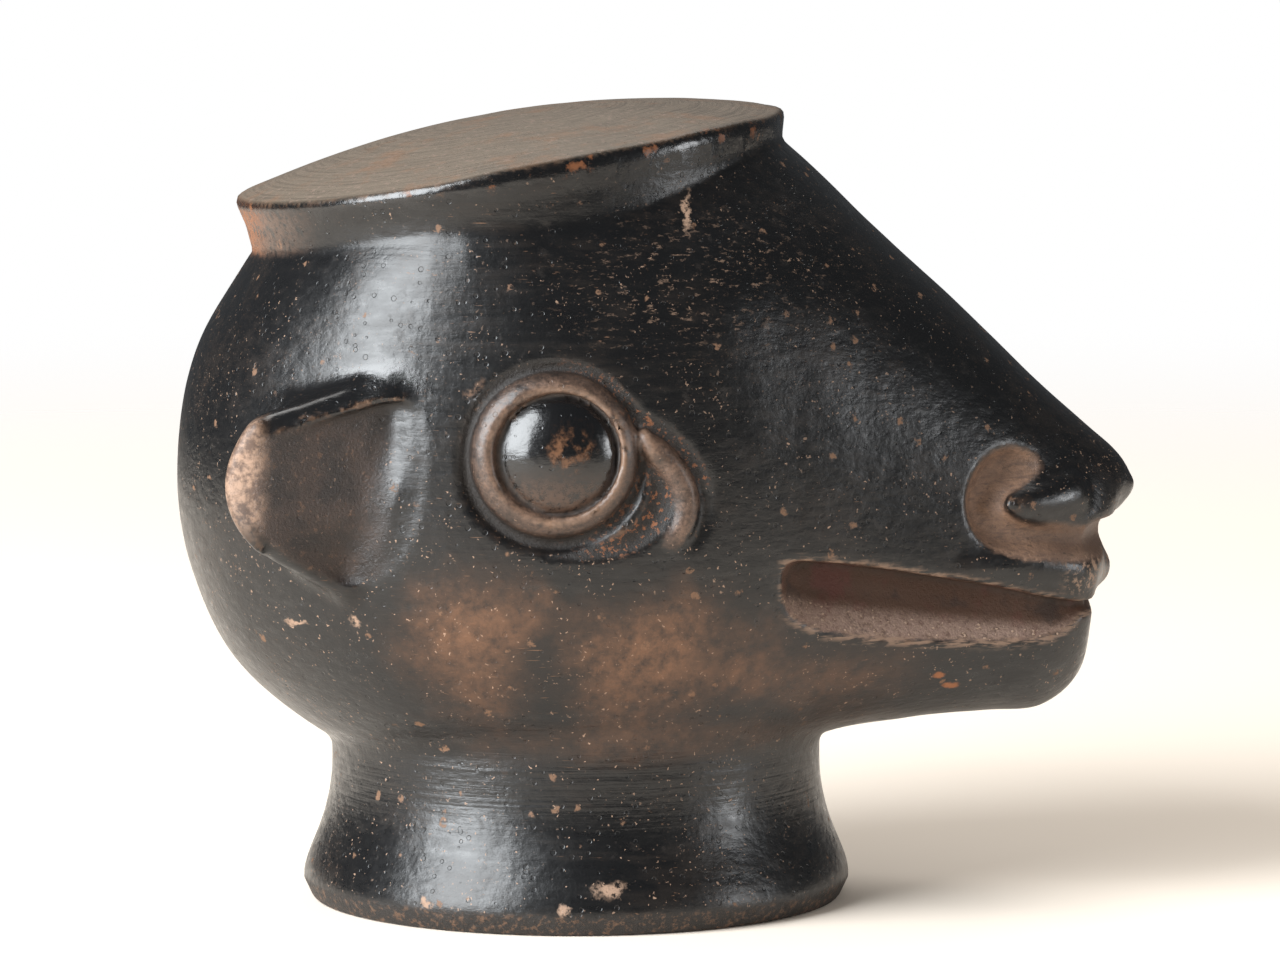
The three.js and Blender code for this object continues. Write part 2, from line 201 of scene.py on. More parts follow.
def path_distance(points: Points, path: np.ndarray, radii: np.ndarray) -> Values:
    """Distance to a round bar along a path, whose radius changes from point to point.

    Args:
        points: Where to measure.
        path: The bar's middle line.
        radii: The bar's radius at each point of the line.

    Returns:
        Signed distances, negative inside the bar.
    """
    nearest = np.full(len(points), np.inf)
    for start, end, thick, thin in zip(path[:-1], path[1:], radii[:-1], radii[1:]):
        along = end - start
        share = np.clip((points - start) @ along / (along @ along), 0.0, 1.0)
        gap = np.linalg.norm(points - start - share[:, None] * along, axis=1)
        nearest = np.minimum(nearest, gap - thick - (thin - thick) * share)
    return nearest


@dataclass(frozen=True)
class HeadForm:
    """Rounded form swelled sideways, section by section, from an outline in the middle plane.

    Attributes:
        wall: How far top and bottom lie inside the head's own outline.
        cheek: How far the snout's sides lie inside the head's own.
        dropped: How many sections at the nose are left out.
        rings: Sections of the mesh.
        sides: Points on one side of a section.
    """

    wall: float
    cheek: float
    dropped: int
    rings: int
    sides: int

    def stations(self) -> tuple[np.ndarray, np.ndarray, np.ndarray, np.ndarray]:
        """Where the form's sections lie.

        Returns:
            Tops, bottoms, middles, and half width with squareness, one row for each section.
        """
        rows = STATIONS[: len(STATIONS) - self.dropped]
        tops, bottoms, middles, shapes = [], [], [], []
        for top_share, bottom_share, half_share, widest, square in rows:
            top, bottom = head_point(top_share), head_point(bottom_share)
            middle = bottom + (top - bottom) * widest
            full = half_share * HEAD_HALF_WIDTH
            thinning = smooth_step(middle[0], 0.0, HEAD_LENGTH / 6)
            half = max(full - self.wall - (self.cheek - self.wall) * thinning, full * 0.2)
            up, down = top - middle, bottom - middle
            tops.append(top - up / np.linalg.norm(up) * self.wall)
            bottoms.append(bottom - down / np.linalg.norm(down) * self.wall)
            middles.append(middle)
            shapes.append((half, square))
        return np.array(tops), np.array(bottoms), np.array(middles), np.array(shapes)

    def tree(self) -> BVHTree:
        """Mesh one side of the form.

        Returns:
            Search tree of its surface on the far side of the middle plane.
        """
        tops, bottoms, middles, shapes = self.stations()
        back, nose = head_point(BACK_POLE), head_point(NOSE_POLE)
        if self.wall:
            back = back + np.array([self.wall, 0.0, 0.0])
            nose = middles[-1] + np.array([self.cheek / 4, 0.0, 0.0])
        outline = np.vstack([back, tops, nose, bottoms[::-1]])
        spans = len(tops) + 1
        first, final = shapes[0], shapes[-1]
        swell = np.vstack([(-first[0], first[1]), (0.0, first[1]), shapes,
                           (0.0, final[1]), (-final[0], final[1])])
        lower = np.linalg.norm(middles - bottoms, axis=1)
        levels = np.concatenate([[0.5, 0.5], lower / np.linalg.norm(tops - bottoms, axis=1), [0.5, 0.5]])
        places = np.linspace(0.0, spans, self.rings + 1)
        top = spline(outline, places, closed=True)
        bottom = spline(outline, 2 * spans - places, closed=True)
        half, square = spline(swell, places + 1, closed=False).T
        level = spline(levels[:, None], places + 1, closed=False)
        middle = bottom + (top - bottom) * level
        angle = np.linspace(0.0, math.pi, self.sides + 1)
        rise, out = np.cos(angle)[None, :], np.sin(angle)[None, :]
        power = (2.0 / square)[:, None]
        reach = (np.abs(rise) ** power)[:, :, None]
        end = np.where(rise[:, :, None] > 0, top[:, None], bottom[:, None])
        grid = middle[:, None] + (end - middle[:, None]) * reach
        grid[:, :, 1] = np.maximum(half, 0.0)[:, None] * np.abs(out) ** power
        wide = self.sides + 1
        ring, side = np.meshgrid(np.arange(self.rings), np.arange(self.sides), indexing="ij")
        corner = (ring * wide + side).ravel()
        faces = np.stack([corner, corner + 1, corner + wide + 1, corner + wide], axis=1)
        points = grid.reshape(-1, 3)
        sides = points[faces]
        crossed = np.cross(sides[:, 2] - sides[:, 0], sides[:, 3] - sides[:, 1])
        faces = faces[np.linalg.norm(crossed, axis=1) > 1e-9]
        return BVHTree.FromPolygons(points.tolist(), faces.tolist())


@dataclass
class Skin:
    """Signed distance to a head form.

    Attributes:
        form: The form measured to.
    """

    form: HeadForm
    search: BVHTree = field(init=False)
    turn: float = field(init=False)

    def __post_init__(self) -> None:
        """Build the search tree, and find which way its faces look."""
        self.search = self.form.tree()
        _, normal, _, _ = self.search.ray_cast((0.0, FAR_OUT, 120.0), (0.0, -1.0, 0.0))
        self.turn = 1.0 if normal[1] > 0 else -1.0

    def distance(self, points: Points) -> Values:
        """Signed distances, negative inside.

        Args:
            points: Where to measure, on the far side of the middle plane.

        Returns:
            One distance for each point.
        """
        find = self.search.find_nearest
        out = np.empty(len(points))
        for index, point in enumerate(points.tolist()):
            place, normal, _, gap = find(point)
            facing = sum((a - b) * c for a, b, c in zip(point, place, normal)) * self.turn
            out[index] = gap if facing > 0 else -gap
        return out

    def meet(self, x: float, z: float) -> tuple[np.ndarray, np.ndarray]:
        """Where a line across the head meets its side.

        Args:
            x: Place along the head.
            z: Height.

        Returns:
            The point, and the direction in which the surface faces there.
        """
        place, normal, _, _ = self.search.ray_cast((x, FAR_OUT, z), (0.0, -1.0, 0.0))
        return np.array(place), np.array(normal) * self.turn


@dataclass(frozen=True)
class Crown:
    """The closed disc on top: a short collar with a shallow dome, tilted up toward the snout.

    Attributes:
        radius: Of the disc at its edge.
        rise: Of the dome above the edge.
        tilt: Of the disc, in degrees.
        height: Of its middle above the table.
        set_back: Of its middle behind the jar's middle.
        collar: Height of the collar.
        flare: How far the collar leans out.
        narrowing: Share by which the disc draws in toward the forehead.
        wall: Thickness of the dome.
        edge: Height of the disc's edge band, by degrees round from the snout.
        foot: How far below the edge the collar meets the head, by the same degrees.
        swell: How much the shoulder swells out to meet the collar there.
        reach: How far down the shoulder that swelling dies away.
    """

    radius: float = 72.5
    rise: float = 11.0
    tilt: float = 9.2
    height: float = 195.0
    set_back: float = 37.9
    collar: float = 13.0
    flare: float = 2.0
    narrowing: float = 0.12
    wall: float = 9.0
    edge: tuple[tuple[float, float], ...] = (
        (0, 0.8), (16, 0.9), (27, 1.9), (41, 2.4), (52, 2.2), (67, 2.8), (91, 2.7), (106, 1.6), (130, 1.1),
        (180, 1.2))
    foot: tuple[tuple[float, float], ...] = (
        (0, 5.2), (8, 5.5), (19, 6.2), (31, 8.7), (42, 11.2), (51, 12.6), (59, 13.4), (75, 14.4), (84, 14.3),
        (89, 13.3), (100, 11.9), (108, 11.4), (118, 11.8), (130, 12.2), (142, 12.9), (162, 13.7), (180, 13.9))
    swell: tuple[tuple[float, float], ...] = (
        (0, 0.4), (8, 0.3), (19, -0.3), (31, -2.5), (42, -4.7), (51, -5.1), (59, -4.6), (75, -2.7),
        (84, -0.9), (89, 0.5), (100, 2.6), (108, 3.0), (118, 2.3), (130, 1.3), (142, 0.3), (162, -1.4),
        (180, -1.7))
    reach: float = 19.0

    def local(self, points: Points) -> tuple[Values, Values, Values, Values]:
        """Along, across, above and outward from the disc's own middle.

        Args:
            points: Where to measure.

        Returns:
            The three coordinates and the distance out from the disc's axis.
        """
        turn = math.radians(self.tilt)
        x, z = points[:, 0] + self.set_back, points[:, 2] - self.height
        along = x * math.cos(turn) + z * math.sin(turn)
        above = z * math.cos(turn) - x * math.sin(turn)
        forward = smooth_step(along, -self.radius * 0.3, self.radius * 0.8)
        across = points[:, 1] / (1.0 - self.narrowing * forward)
        return along, points[:, 1], above, np.hypot(along, across)

    def around(self, table: Sequence[tuple[float, float]], points: Points) -> Values:
        """Read a table of degrees round from the snout.

        Args:
            table: Degrees and values.
            points: Where to read it.

        Returns:
            One value for each point.
        """
        along, across, _, _ = self.local(points)
        return np.interp(np.degrees(np.arctan2(across, along)), *np.array(table, dtype=float).T)

    def distance(self, points: Points) -> Values:
        """Signed distances to the disc and its collar.

        Args:
            points: Where to measure.

        Returns:
            One distance for each point.
        """
        _, _, above, out = self.local(points)
        foot = self.radius - self.flare
        side = out - np.interp(above, [-1.6 * self.collar, -self.collar, -0.5 * self.collar, -0.7, 0.8, 3.2],
                               [foot - self.flare, foot - 0.1, foot + 0.5, self.radius, self.radius - 0.2,
                                self.radius - 0.8])
        edge = self.around(self.edge, points)
        share = np.minimum(out / (self.radius - 0.6), 1.15)
        dome = (above - edge - (self.rise - edge) * (1.0 - share * share)) * math.cos(self.rise / self.radius)
        return overlap(overlap(side, dome, 1.1), -above - 1.6 * self.collar, 1.0)

    def shoulder(self, points: Points, skin: Values) -> Values:
        """Signed distances to the head, shaped to meet the collar's foot and cut off above it.

        Args:
            points: Where to measure.
            skin: Distances to the head's own surface there.

        Returns:
            One distance for each point.
        """
        _, _, above, out = self.local(points)
        below = above + self.around(self.foot, points)
        gap = np.hypot(np.maximum(-below, 0.0), np.maximum(np.abs(out - self.radius) - 4.0, 0.0))
        swell = self.around(self.swell, points) * np.exp(-((gap / self.reach) ** 2))
        return overlap(skin - swell, below - 1.6, 3.0)

    def ceiling(self, points: Points) -> Values:
        """Distance above the underside of the dome.

        Args:
            points: Where to measure.

        Returns:
            One height for each point.
        """
        _, _, above, out = self.local(points)
        share = np.minimum(out / self.radius, 1.0)
        return above - self.rise * (1.0 - share * share) + self.wall


@dataclass(frozen=True)
class NeckRing:
    """The flared mouth that the jar stands on.

    Attributes:
        set_back: Of its middle behind the jar's middle.
        waist: Radius where it meets the head.
        lip: Radius of its edge.
        lip_height: How high the edge's widest line is.
        flat: Width of the ring that touches the table.
        bevel: How far the face below the edge leans in.
        wall: Its thickness.
        top: How far it runs up into the head.
    """

    set_back: float = 20.8
    waist: float = 64.2
    lip: float = 71.8
    lip_height: float = 5.2
    flat: float = 5.0
    bevel: float = 2.4
    wall: float = 7.0
    top: float = 51.0

    def line(self, lip: float, lip_height: float, waist: float) -> tuple[np.ndarray, np.ndarray]:
        """The concave line from the lip up to the waist.

        Args:
            lip: Radius at the lip.
            lip_height: Where the line starts.
            waist: Radius that it ends at.

        Returns:
            Its heights and its radii.
        """
        share = np.linspace(0.0, 1.0, 25)[:, None]
        rise = HEAD_UNDERSIDE - lip_height
        ends = np.array([(lip, lip_height), (lip, lip_height + 0.22 * rise),
                         (waist, lip_height + 0.45 * rise), (waist, HEAD_UNDERSIDE)])
        weights = np.hstack([(1 - share) ** 3, 3 * share * (1 - share) ** 2,
                             3 * share ** 2 * (1 - share), share ** 3])
        curve = weights @ ends
        return curve[:, 1], curve[:, 0]

    def out(self, points: Points) -> Values:
        """Distances from the ring's axis.

        Args:
            points: Where to measure.

        Returns:
            One distance for each point.
        """
        return np.hypot(points[:, 0] + self.set_back, points[:, 1])

    def distance(self, points: Points) -> Values:
        """Signed distances to the ring's outer form.

        Args:
            points: Where to measure.

        Returns:
            One distance for each point.
        """
        heights, radii = self.line(self.lip, self.lip_height, self.waist)
        z = points[:, 2]
        side = (self.out(points) - np.interp(z, heights, radii)) * SLANT
        face = (self.out(points) - self.lip + self.bevel * (1.0 - z / self.lip_height)) * 0.9
        side = np.where(z < self.lip_height, face, side)
        return overlap(overlap(side, -z, 1.2), z - self.top, 2.0)

    def bore(self, points: Points) -> Values:
        """Signed distances to the hollow of the ring.

        Args:
            points: Where to measure.

        Returns:
            One distance for each point.
        """
        mouth = self.lip - self.bevel - self.flat
        inner = self.waist - self.wall
        heights, radii = self.line(mouth, self.lip_height / 2, inner)
        z = points[:, 2]
        wide = np.interp(z, np.append([0.0, 1.5], heights), np.append([mouth + 1.2, mouth + 0.2], radii))
        side = (self.out(points) - wide) * SLANT
        return overlap(side, z - HEAD_UNDERSIDE - 3 * HEAD_WALL, 2.0)


@dataclass(frozen=True)
class Eye:
    """A round eyeball in a raised ring, with a groove round the outside.

    Attributes:
        place: Of the ring's middle on the head's side, along and up.
        ring: Outer radius of the ring.
        crest: Radius of the ring's highest line.
        ring_proud: How far that line stands out.
        ball_shift: How far the eyeball sits toward the snout from the ring's middle.
        ball: Radius of the eyeball where it meets the ring.
        ball_proud: How far the eyeball stands out.
        pit: Depth at which eyeball and ring meet.
        groove: Radius of the groove round the outside.
    """

    place: tuple[float, float] = (-25.6, 125.8)
    ring: float = 20.7
    crest: float = 17.4
    ring_proud: float = 2.1
    ball_shift: float = 1.3
    ball: float = 15.2
    ball_proud: float = 4.8
    pit: float = 1.0
    groove: float = 2.3


@dataclass(frozen=True)
class EyeField:
    """An eye's distance field, seated on the head's side.

    Attributes:
        eye: Its sizes.
        middle: Where it sits on the head's surface.
        facing: How the surface faces there.
    """

    eye: Eye
    middle: np.ndarray
    facing: np.ndarray

    def distance(self, points: Points, body: Values) -> Values:
        """Cut the groove, then raise ring and eyeball.

        Args:
            points: Where to measure.
            body: Distances to what is there so far.

        Returns:
            Distances with the eye.
        """
        eye = self.eye
        offset = points - self.middle
        height = offset @ self.facing
        across = offset - height[:, None] * self.facing
        out = np.linalg.norm(across, axis=1)
        shifted = across - np.array([eye.ball_shift, 0.0, 0.0])
        ball_out = np.linalg.norm(shifted, axis=1)
        low = smooth_step(-across[:, 2], -8.0, 18.0)
        groove = np.hypot(out - eye.ring - 0.7 - 0.9 * low, body - 0.3) - eye.groove * (0.75 + 0.45 * low)
        body = cut(body, np.where(height > -6.0, groove, 9.0), 1.8)
        radii = [0.0, eye.ball - 1.0, eye.crest - 1.2, eye.crest, eye.ring - 1.2, eye.ring + 0.2,
                 eye.ring + 4.0]
        rises = [-eye.pit, -eye.pit, eye.ring_proud - 0.5, eye.ring_proud, eye.ring_proud - 1.3, -0.6, -6.0]
        profile = np.interp(out, radii, rises)
        curb = np.where(out < eye.ring + 4.0, (height - profile) * 0.86, 9.0)
        body = join(body, overlap(curb, out - eye.ring - 1.0, 1.6), 0.9)
        socket = overlap(overlap(ball_out - eye.ball - 0.6, -height - eye.pit, 0.6), height - 9.0, 0.6)
        body = cut(body, socket, 0.8)
        reach = (eye.ball ** 2 + (eye.ball_proud + eye.pit) ** 2) / (2 * (eye.ball_proud + eye.pit))
        ball = np.sqrt(ball_out ** 2 + (height - eye.ball_proud + reach) ** 2) - reach
        return join(body, overlap(ball, ball_out - eye.ball - 1.0, 1.0), 0.7)


@dataclass(frozen=True)
class Outline:
    """A closed line on the head's side, and the distance to it.

    Attributes:
        knots: Points that the line runs through, along and up.
        steps: How many short lines lie between two knots.
    """

    knots: tuple[tuple[float, float], ...]
    steps: int = 5

    def corners(self) -> np.ndarray:
        """Round the line off between its knots.

        Returns:
            The line's points, one row each.
        """
        count = len(self.knots)
        places = np.arange(count * self.steps) / self.steps
        return spline(np.array(self.knots), places, closed=True)

    def distance(self, x: Values, z: Values) -> Values:
        """Signed distances, negative inside the line.

        Args:
            x: Places along the head.
            z: Heights.

        Returns:
            One distance for each place.
        """
        corners = self.corners()
        nearest = np.full(len(x), np.inf)
        inside = np.zeros(len(x), dtype=bool)
        for (ax, az), (bx, bz) in zip(corners, np.roll(corners, -1, axis=0)):
            dx, dz = bx - ax, bz - az
            share = np.clip(((x - ax) * dx + (z - az) * dz) / (dx * dx + dz * dz), 0.0, 1.0)
            nearest = np.minimum(nearest, np.hypot(x - ax - share * dx, z - az - share * dz))
            if dz:
                crosses = ((az > z) != (bz > z)) & (x < ax + dx * (z - az) / dz)
                inside ^= crosses
        return np.where(inside, -nearest, nearest)


@dataclass(frozen=True)
class Ear:
    """A flap that stands out behind, with a worn facet along its back rim and a dished face.

    Attributes:
        outline: Of the flap.
        face: Line around the dished face.
        back: Where the flap ends behind.
        proud: How far out the flap's rim lies, from the middle plane.
        lean: How much the flap turns in toward the cheek.
        ridge: Where the facet meets the face.
        facet_slope: Of the worn facet.
        face_slope: Of the face.
        dish: Depth of its hollow.
        rim: Thickness of the flap's back edge.
        droop: How far the flap's lower end sinks back into the head.
        bite: How deep the face goes below the head's own surface.
    """

    outline: Outline = Outline((
        (-104.3, 132.2), (-108.6, 123.5), (-109.4, 115.0), (-106.6, 107.2), (-100.7, 100.4), (-92.8, 95.2),
        (-85.0, 90.4), (-77.0, 87.4), (-68.0, 96.0), (-62.0, 112.0), (-60.0, 126.0), (-59.5, 140.0),
        (-68.0, 145.0), (-80.0, 141.6), (-91.5, 137.8), (-99.5, 135.4)))
    face: Outline = Outline((
        (-101.0, 129.8), (-96.0, 131.4), (-81.0, 135.6), (-68.0, 138.8), (-61.0, 137.6), (-58.5, 126.0),
        (-60.0, 112.0), (-63.5, 101.0), (-70.0, 93.6), (-78.5, 91.4), (-86.0, 94.4), (-93.5, 99.2),
        (-99.4, 104.4), (-102.0, 110.0), (-102.4, 119.0)))
    back: float = -109.2
    proud: float = 83.7
    lean: float = 0.150
    ridge: float = -100.6
    facet_slope: float = 0.42
    face_slope: float = 0.250
    dish: float = 1.3
    rim: float = 11.0
    droop: float = 5.5
    bite: float = 2.4

    def surface(self, x: Values, z: Values) -> Values:
        """How far from the middle plane the flap's own surface lies.

        Args:
            x: Places along the head.
            z: Heights.

        Returns:
            One distance for each place.
        """
        sunk = smooth_step(x, -99.0, -78.0) * smooth_step(-z, -112.0, -92.0)
        return self.proud - self.lean * (x - self.back) - self.droop * sunk

    def distance(self, points: Points, body: Values, skin: Values) -> Values:
        """Raise the flap and hollow its face.

        Args:
            points: Where to measure.
            body: Distances to what is there so far.
            skin: Distances to the head's own surface there.

        Returns:
            Distances with the ear.
        """
        near = ((points[:, 0] > self.back - 14) & (points[:, 0] < -44) & (points[:, 2] > 78)
                & (points[:, 2] < 160) & (points[:, 1] > 20))
        if not near.any():
            return body
        x, y, z = points[near].T
        line = self.outline.distance(x, z)
        surface = self.surface(x, z)
        behind = self.facet_slope * np.maximum(self.ridge - x, 0.0)
        above = np.maximum(5.2 + line, 0.0) - 1.6 * np.maximum(self.ridge + 2.0 - x, 0.0)
        front = overlap(overlap(y - surface, y - surface + behind, 3.0), y - surface + above, 0.9)
        under = surface - self.rim - 0.55 * (x - self.back)
        flap = overlap(overlap(line, front * 0.9, 2.0), (under - y) * 0.85, 4.0)
        pocket_line = self.face.distance(x, z)
        across = np.clip((x - self.ridge) / 36.0, 0.0, 1.0)
        hollow = np.sin(math.pi * across) * self.dish
        floor = surface - (self.face_slope - self.lean) * np.maximum(x - self.ridge, 0.0) - hollow
        pocket = overlap(pocket_line, (floor - y) * 0.95, 2.4)
        bite = self.bite * smooth_step(z, 112.0, 130.0) * smooth_step(-x, 60.0, 70.0)
        pocket = overlap(pocket, -skin[near] - bite, 2.0)
        made = body.copy()
        made[near] = cut(join(body[near], flap, 4.5), pocket, 1.3)
        return made


@dataclass(frozen=True)
class Bar:
    """A round bar or channel along the head's side.

    Attributes:
        path: Where it runs, along and up.
        radii: Its radius at each of those places.
        proud: How far its middle line lies outside the head's surface.
    """

    path: tuple[tuple[float, float], ...]
    radii: tuple[float, ...]
    proud: tuple[float, ...]

    def line(self, skin: Skin) -> tuple[np.ndarray, np.ndarray]:
        """The bar's middle line, close enough spaced to look bent.

        Args:
            skin: The head's surface.

        Returns:
            Points and radii.
        """
        knots = np.column_stack([np.array(self.path), np.array(self.radii), np.array(self.proud)])
        places = np.linspace(0.0, len(knots) - 1.0, 6 * (len(knots) - 1) + 1)
        rows = spline(knots, places, closed=False)
        points = []
        for x, z, _, proud in rows:
            place, facing = skin.meet(x, z)
            points.append(place + facing * proud)
        return np.array(points), rows[:, 2]


@dataclass(frozen=True)
class Nose:
    """Nostril channel that curls round a pointed wing and runs on below it to the front.

    Attributes:
        channel: The carved channel.
        wing: The lobe that the channel leaves standing.
        front: The channel's end at the front of the snout.
    """

    channel: Bar = Bar(
        ((97.4, 117.4), (92.8, 117.0), (88.4, 113.8), (86.2, 108.4), (87.4, 103.4), (92.2, 99.8),
         (99.6, 98.0), (107.4, 96.8), (113.4, 96.4)),
        (3.2, 5.4, 6.4, 6.6, 6.0, 5.4, 5.2, 5.0, 5.0),
        (0.9, 1.3, 1.6, 1.8, 1.7, 1.7, 2.0, 2.4, 2.8))
    wing: Bar = Bar(
        ((92.0, 107.4), (96.6, 107.4), (102.4, 108.0), (108.0, 109.4)),
        (1.7, 4.4, 6.6, 8.0), (0.6, -1.4, -4.0, -5.6))
    front: tuple[float, float, float] = (121.6, 0.0, 97.0)


@dataclass(frozen=True)
class Mouth:
    """A wedge-shaped slot round the snout, between a crisp upper edge and a worn lower one.

    Attributes:
        upper: Heights of the upper edge at places along the head.
        lower: Heights of the lower edge.
        back: Where the slot ends behind.
        depth: Its depth behind and at the front.
        slope: How much the floor rises for each step inward.
    """

    upper: tuple[tuple[float, float], ...] = (
        (30.0, 96.6), (36.8, 96.4), (47.4, 95.1), (58.6, 93.1), (73.5, 89.9), (85.3, 87.3), (94.5, 84.9),
        (102.3, 82.7), (110.1, 81.0), (125.0, 80.4))
    lower: tuple[tuple[float, float], ...] = (
        (30.0, 83.0), (36.9, 79.8), (42.0, 77.0), (50.1, 75.3), (58.8, 73.8), (73.7, 72.4), (88.1, 71.6),
        (100.0, 71.6), (106.0, 73.0), (111.0, 77.0), (125.0, 79.5))
    back: float = 32.2
    depth: tuple[float, float] = (11.5, 6.0)
    slope: float = 0.95

    def distance(self, points: Points, skin: Values) -> Values:
        """Signed distances to the slot.

        Args:
            points: Where to measure.
            skin: Distances to the head's own surface there.

        Returns:
            One distance for each point.
        """
        x, z = points[:, 0], points[:, 2]
        upper = np.interp(x, *np.array(self.upper).T)
        lower = np.interp(x, *np.array(self.lower).T)
        depth = self.depth[0] + (self.depth[1] - self.depth[0]) * smooth_step(x, 70.0, 112.0)
        inset = np.maximum(-skin, 0.0)
        wall = -(skin + depth)
        roof = z - upper + 0.15 * inset
        floor = (lower + self.slope * inset - z) * 0.72
        hollow = overlap(overlap(wall, floor, 5.0), roof, 1.2)
        return overlap(hollow, self.back - x + 0.25 * inset, 5.0)


class Detail(Enum):
    """How finely the jar is meshed."""

    DRAFT = 2.4
    FULL = 1.3


@dataclass
class Jar:
    """The whole fired-clay body as one distance field.

    Attributes:
        crown: Disc on top.
        neck: Ring that it stands on.
        eye: Sizes of an eye.
        ear: Sizes of an ear.
        nose: Sizes of the nose.
        mouth: Sizes of the mouth slot.
        tear: Ridge that runs down from the eye.
        tear_groove: Groove along the ridge's outer side.
        tear_pit: Hollow between the ridge and the eye, which runs on below the eye.
        lip: Roll above the mouth at the front.
        lip_front: The roll's end at the front of the snout.
        cleared: Depth below the surface from which the hollow is cut, as a share of the wall.
        kept: Least wall that carving leaves, as the same share.
    """

    crown: Crown = Crown()
    neck: NeckRing = NeckRing()
    eye: Eye = Eye()
    ear: Ear = Ear()
    nose: Nose = Nose()
    mouth: Mouth = Mouth()
    tear: Bar = Bar(
        ((-9.6, 134.2), (-4.1, 129.5), (1.3, 125.2), (5.4, 120.5), (7.7, 115.0), (7.9, 109.6), (6.2, 105.4),
         (4.4, 103.6)),
        (2.2, 3.0, 3.3, 3.3, 3.2, 3.1, 2.9, 2.6), (-0.2, -0.6, -0.9, -1.0, -1.0, -1.0, -1.1, -1.4))
    tear_groove: Bar = Bar(
        ((-9.0, 138.4), (-4.0, 134.2), (2.2, 129.9), (7.2, 124.7), (11.2, 118.7), (12.6, 112.6),
         (12.0, 107.0), (9.6, 102.2)),
        (1.5, 2.0, 2.2, 2.3, 2.2, 2.1, 1.8, 1.2), (0.9, 0.8, 0.7, 0.7, 0.7, 0.8, 0.8, 0.9))
    tear_pit: Bar = Bar(
        ((-1.6, 122.6), (0.6, 117.4), (0.6, 111.6), (-2.4, 106.4), (-8.0, 102.6), (-16.7, 100.9),
         (-26.8, 101.2)),
        (1.4, 2.8, 3.4, 3.2, 2.4, 1.8, 1.2), (0.5, 1.3, 1.6, 1.6, 1.2, 0.9, 0.7))
    lip: Bar = Bar(((81.4, 91.6), (92.2, 91.4), (102.0, 90.4), (110.0, 88.6)),
                   (2.6, 4.6, 5.6, 5.8), (-2.0, -3.4, -4.0, -4.0))
    lip_front: tuple[float, float, float] = (113.8, 0.0, 87.2)
    cleared: float = 0.6
    kept: float = 0.85
    outer: Skin = field(init=False)
    inner: Skin = field(init=False)
    eye_field: EyeField = field(init=False)
    bars: dict[str, tuple[np.ndarray, np.ndarray]] = field(init=False)

    def __post_init__(self) -> None:
        """Build the two head surfaces, and seat the carving on the outer one."""
        self.outer = Skin(HeadForm(0.0, 0.0, 0, 480, 190))
        self.inner = Skin(HeadForm(HEAD_WALL, CHEEK_THICKNESS, 3, 160, 70))
        middle, facing = self.outer.meet(*self.eye.place)
        self.eye_field = EyeField(self.eye, middle, facing)
        named = {"tear": self.tear, "tear_groove": self.tear_groove, "tear_pit": self.tear_pit,
                 "lip": self.lip, "channel": self.nose.channel, "wing": self.nose.wing}
        self.bars = {name: bar.line(self.outer) for name, bar in named.items()}
        for name, front in (("channel", self.nose.front), ("lip", self.lip_front)):
            line, radii = self.bars[name]
            self.bars[name] = (np.vstack([line, front]), np.append(radii, radii[-1]))

    def bar(self, name: str, points: Points, reach: float = 30.0) -> Values:
        """Distances to a named bar, exact only close to it.

        Args:
            name: Which bar.
            points: Where to measure.
            reach: How far from the bar the distance still matters.

        Returns:
            One distance for each point.
        """
        line, radii = self.bars[name]
        low, high = line.min(axis=0) - reach, line.max(axis=0) + reach
        near = np.all((points > low) & (points < high), axis=1)
        out = np.full(len(points), reach)
        if near.any():
            out[near] = path_distance(points[near], line, radii)
        return out

    def outside(self, points: Points) -> Values:
        """Distances to the jar as if it were solid.

        Args:
            points: Where to measure, on the far side of the middle plane.

        Returns:
            One distance for each point.
        """
        skin = self.outer.distance(points)
        body = join(self.crown.shoulder(points, skin), self.crown.distance(points), 1.2)
        body = join(body, self.neck.distance(points), 3.0)
        body = self.ear.distance(points, body, skin)
        body = cut(body, self.bar("tear_groove", points), 1.6)
        body = cut(body, self.bar("tear_pit", points), 1.6)
        body = join(body, self.bar("tear", points), 1.4)
        body = self.eye_field.distance(points, body)
        body = cut(body, self.bar("channel", points), 1.6)
        body = join(body, self.bar("wing", points), 2.0)
        body = join(body, self.bar("lip", points), 3.0)
        return cut(body, self.mouth.distance(points, skin), 1.0)

    def inside(self, points: Points) -> Values:
        """Distances to the hollow.

        Args:
            points: Where to measure, on the far side of the middle plane.

        Returns:
            One distance for each point.
        """
        room = overlap(self.inner.distance(points), self.outer.distance(points) + HEAD_WALL, 2.0)
        room = overlap(room, self.crown.ceiling(points), 5.0)
        return join(room, self.neck.bore(points), 3.0)

    def distance(self, points: Points) -> Values:
        """Distances to the clay itself.

        Args:
            points: Where to measure, on the far side of the middle plane.

        Returns:
            One distance for each point.
        """
        clay = self.outside(points)
        thick = (clay < -self.cleared * HEAD_WALL) | (points[:, 2] < self.neck.lip_height)
        room = self.inside(points[thick])
        high = points[thick, 2] > HEAD_UNDERSIDE
        room[high] = overlap(room[high], clay[thick][high] + self.kept * HEAD_WALL, 1.0)
        clay[thick] = cut(clay[thick], room, 1.0)
        return clay


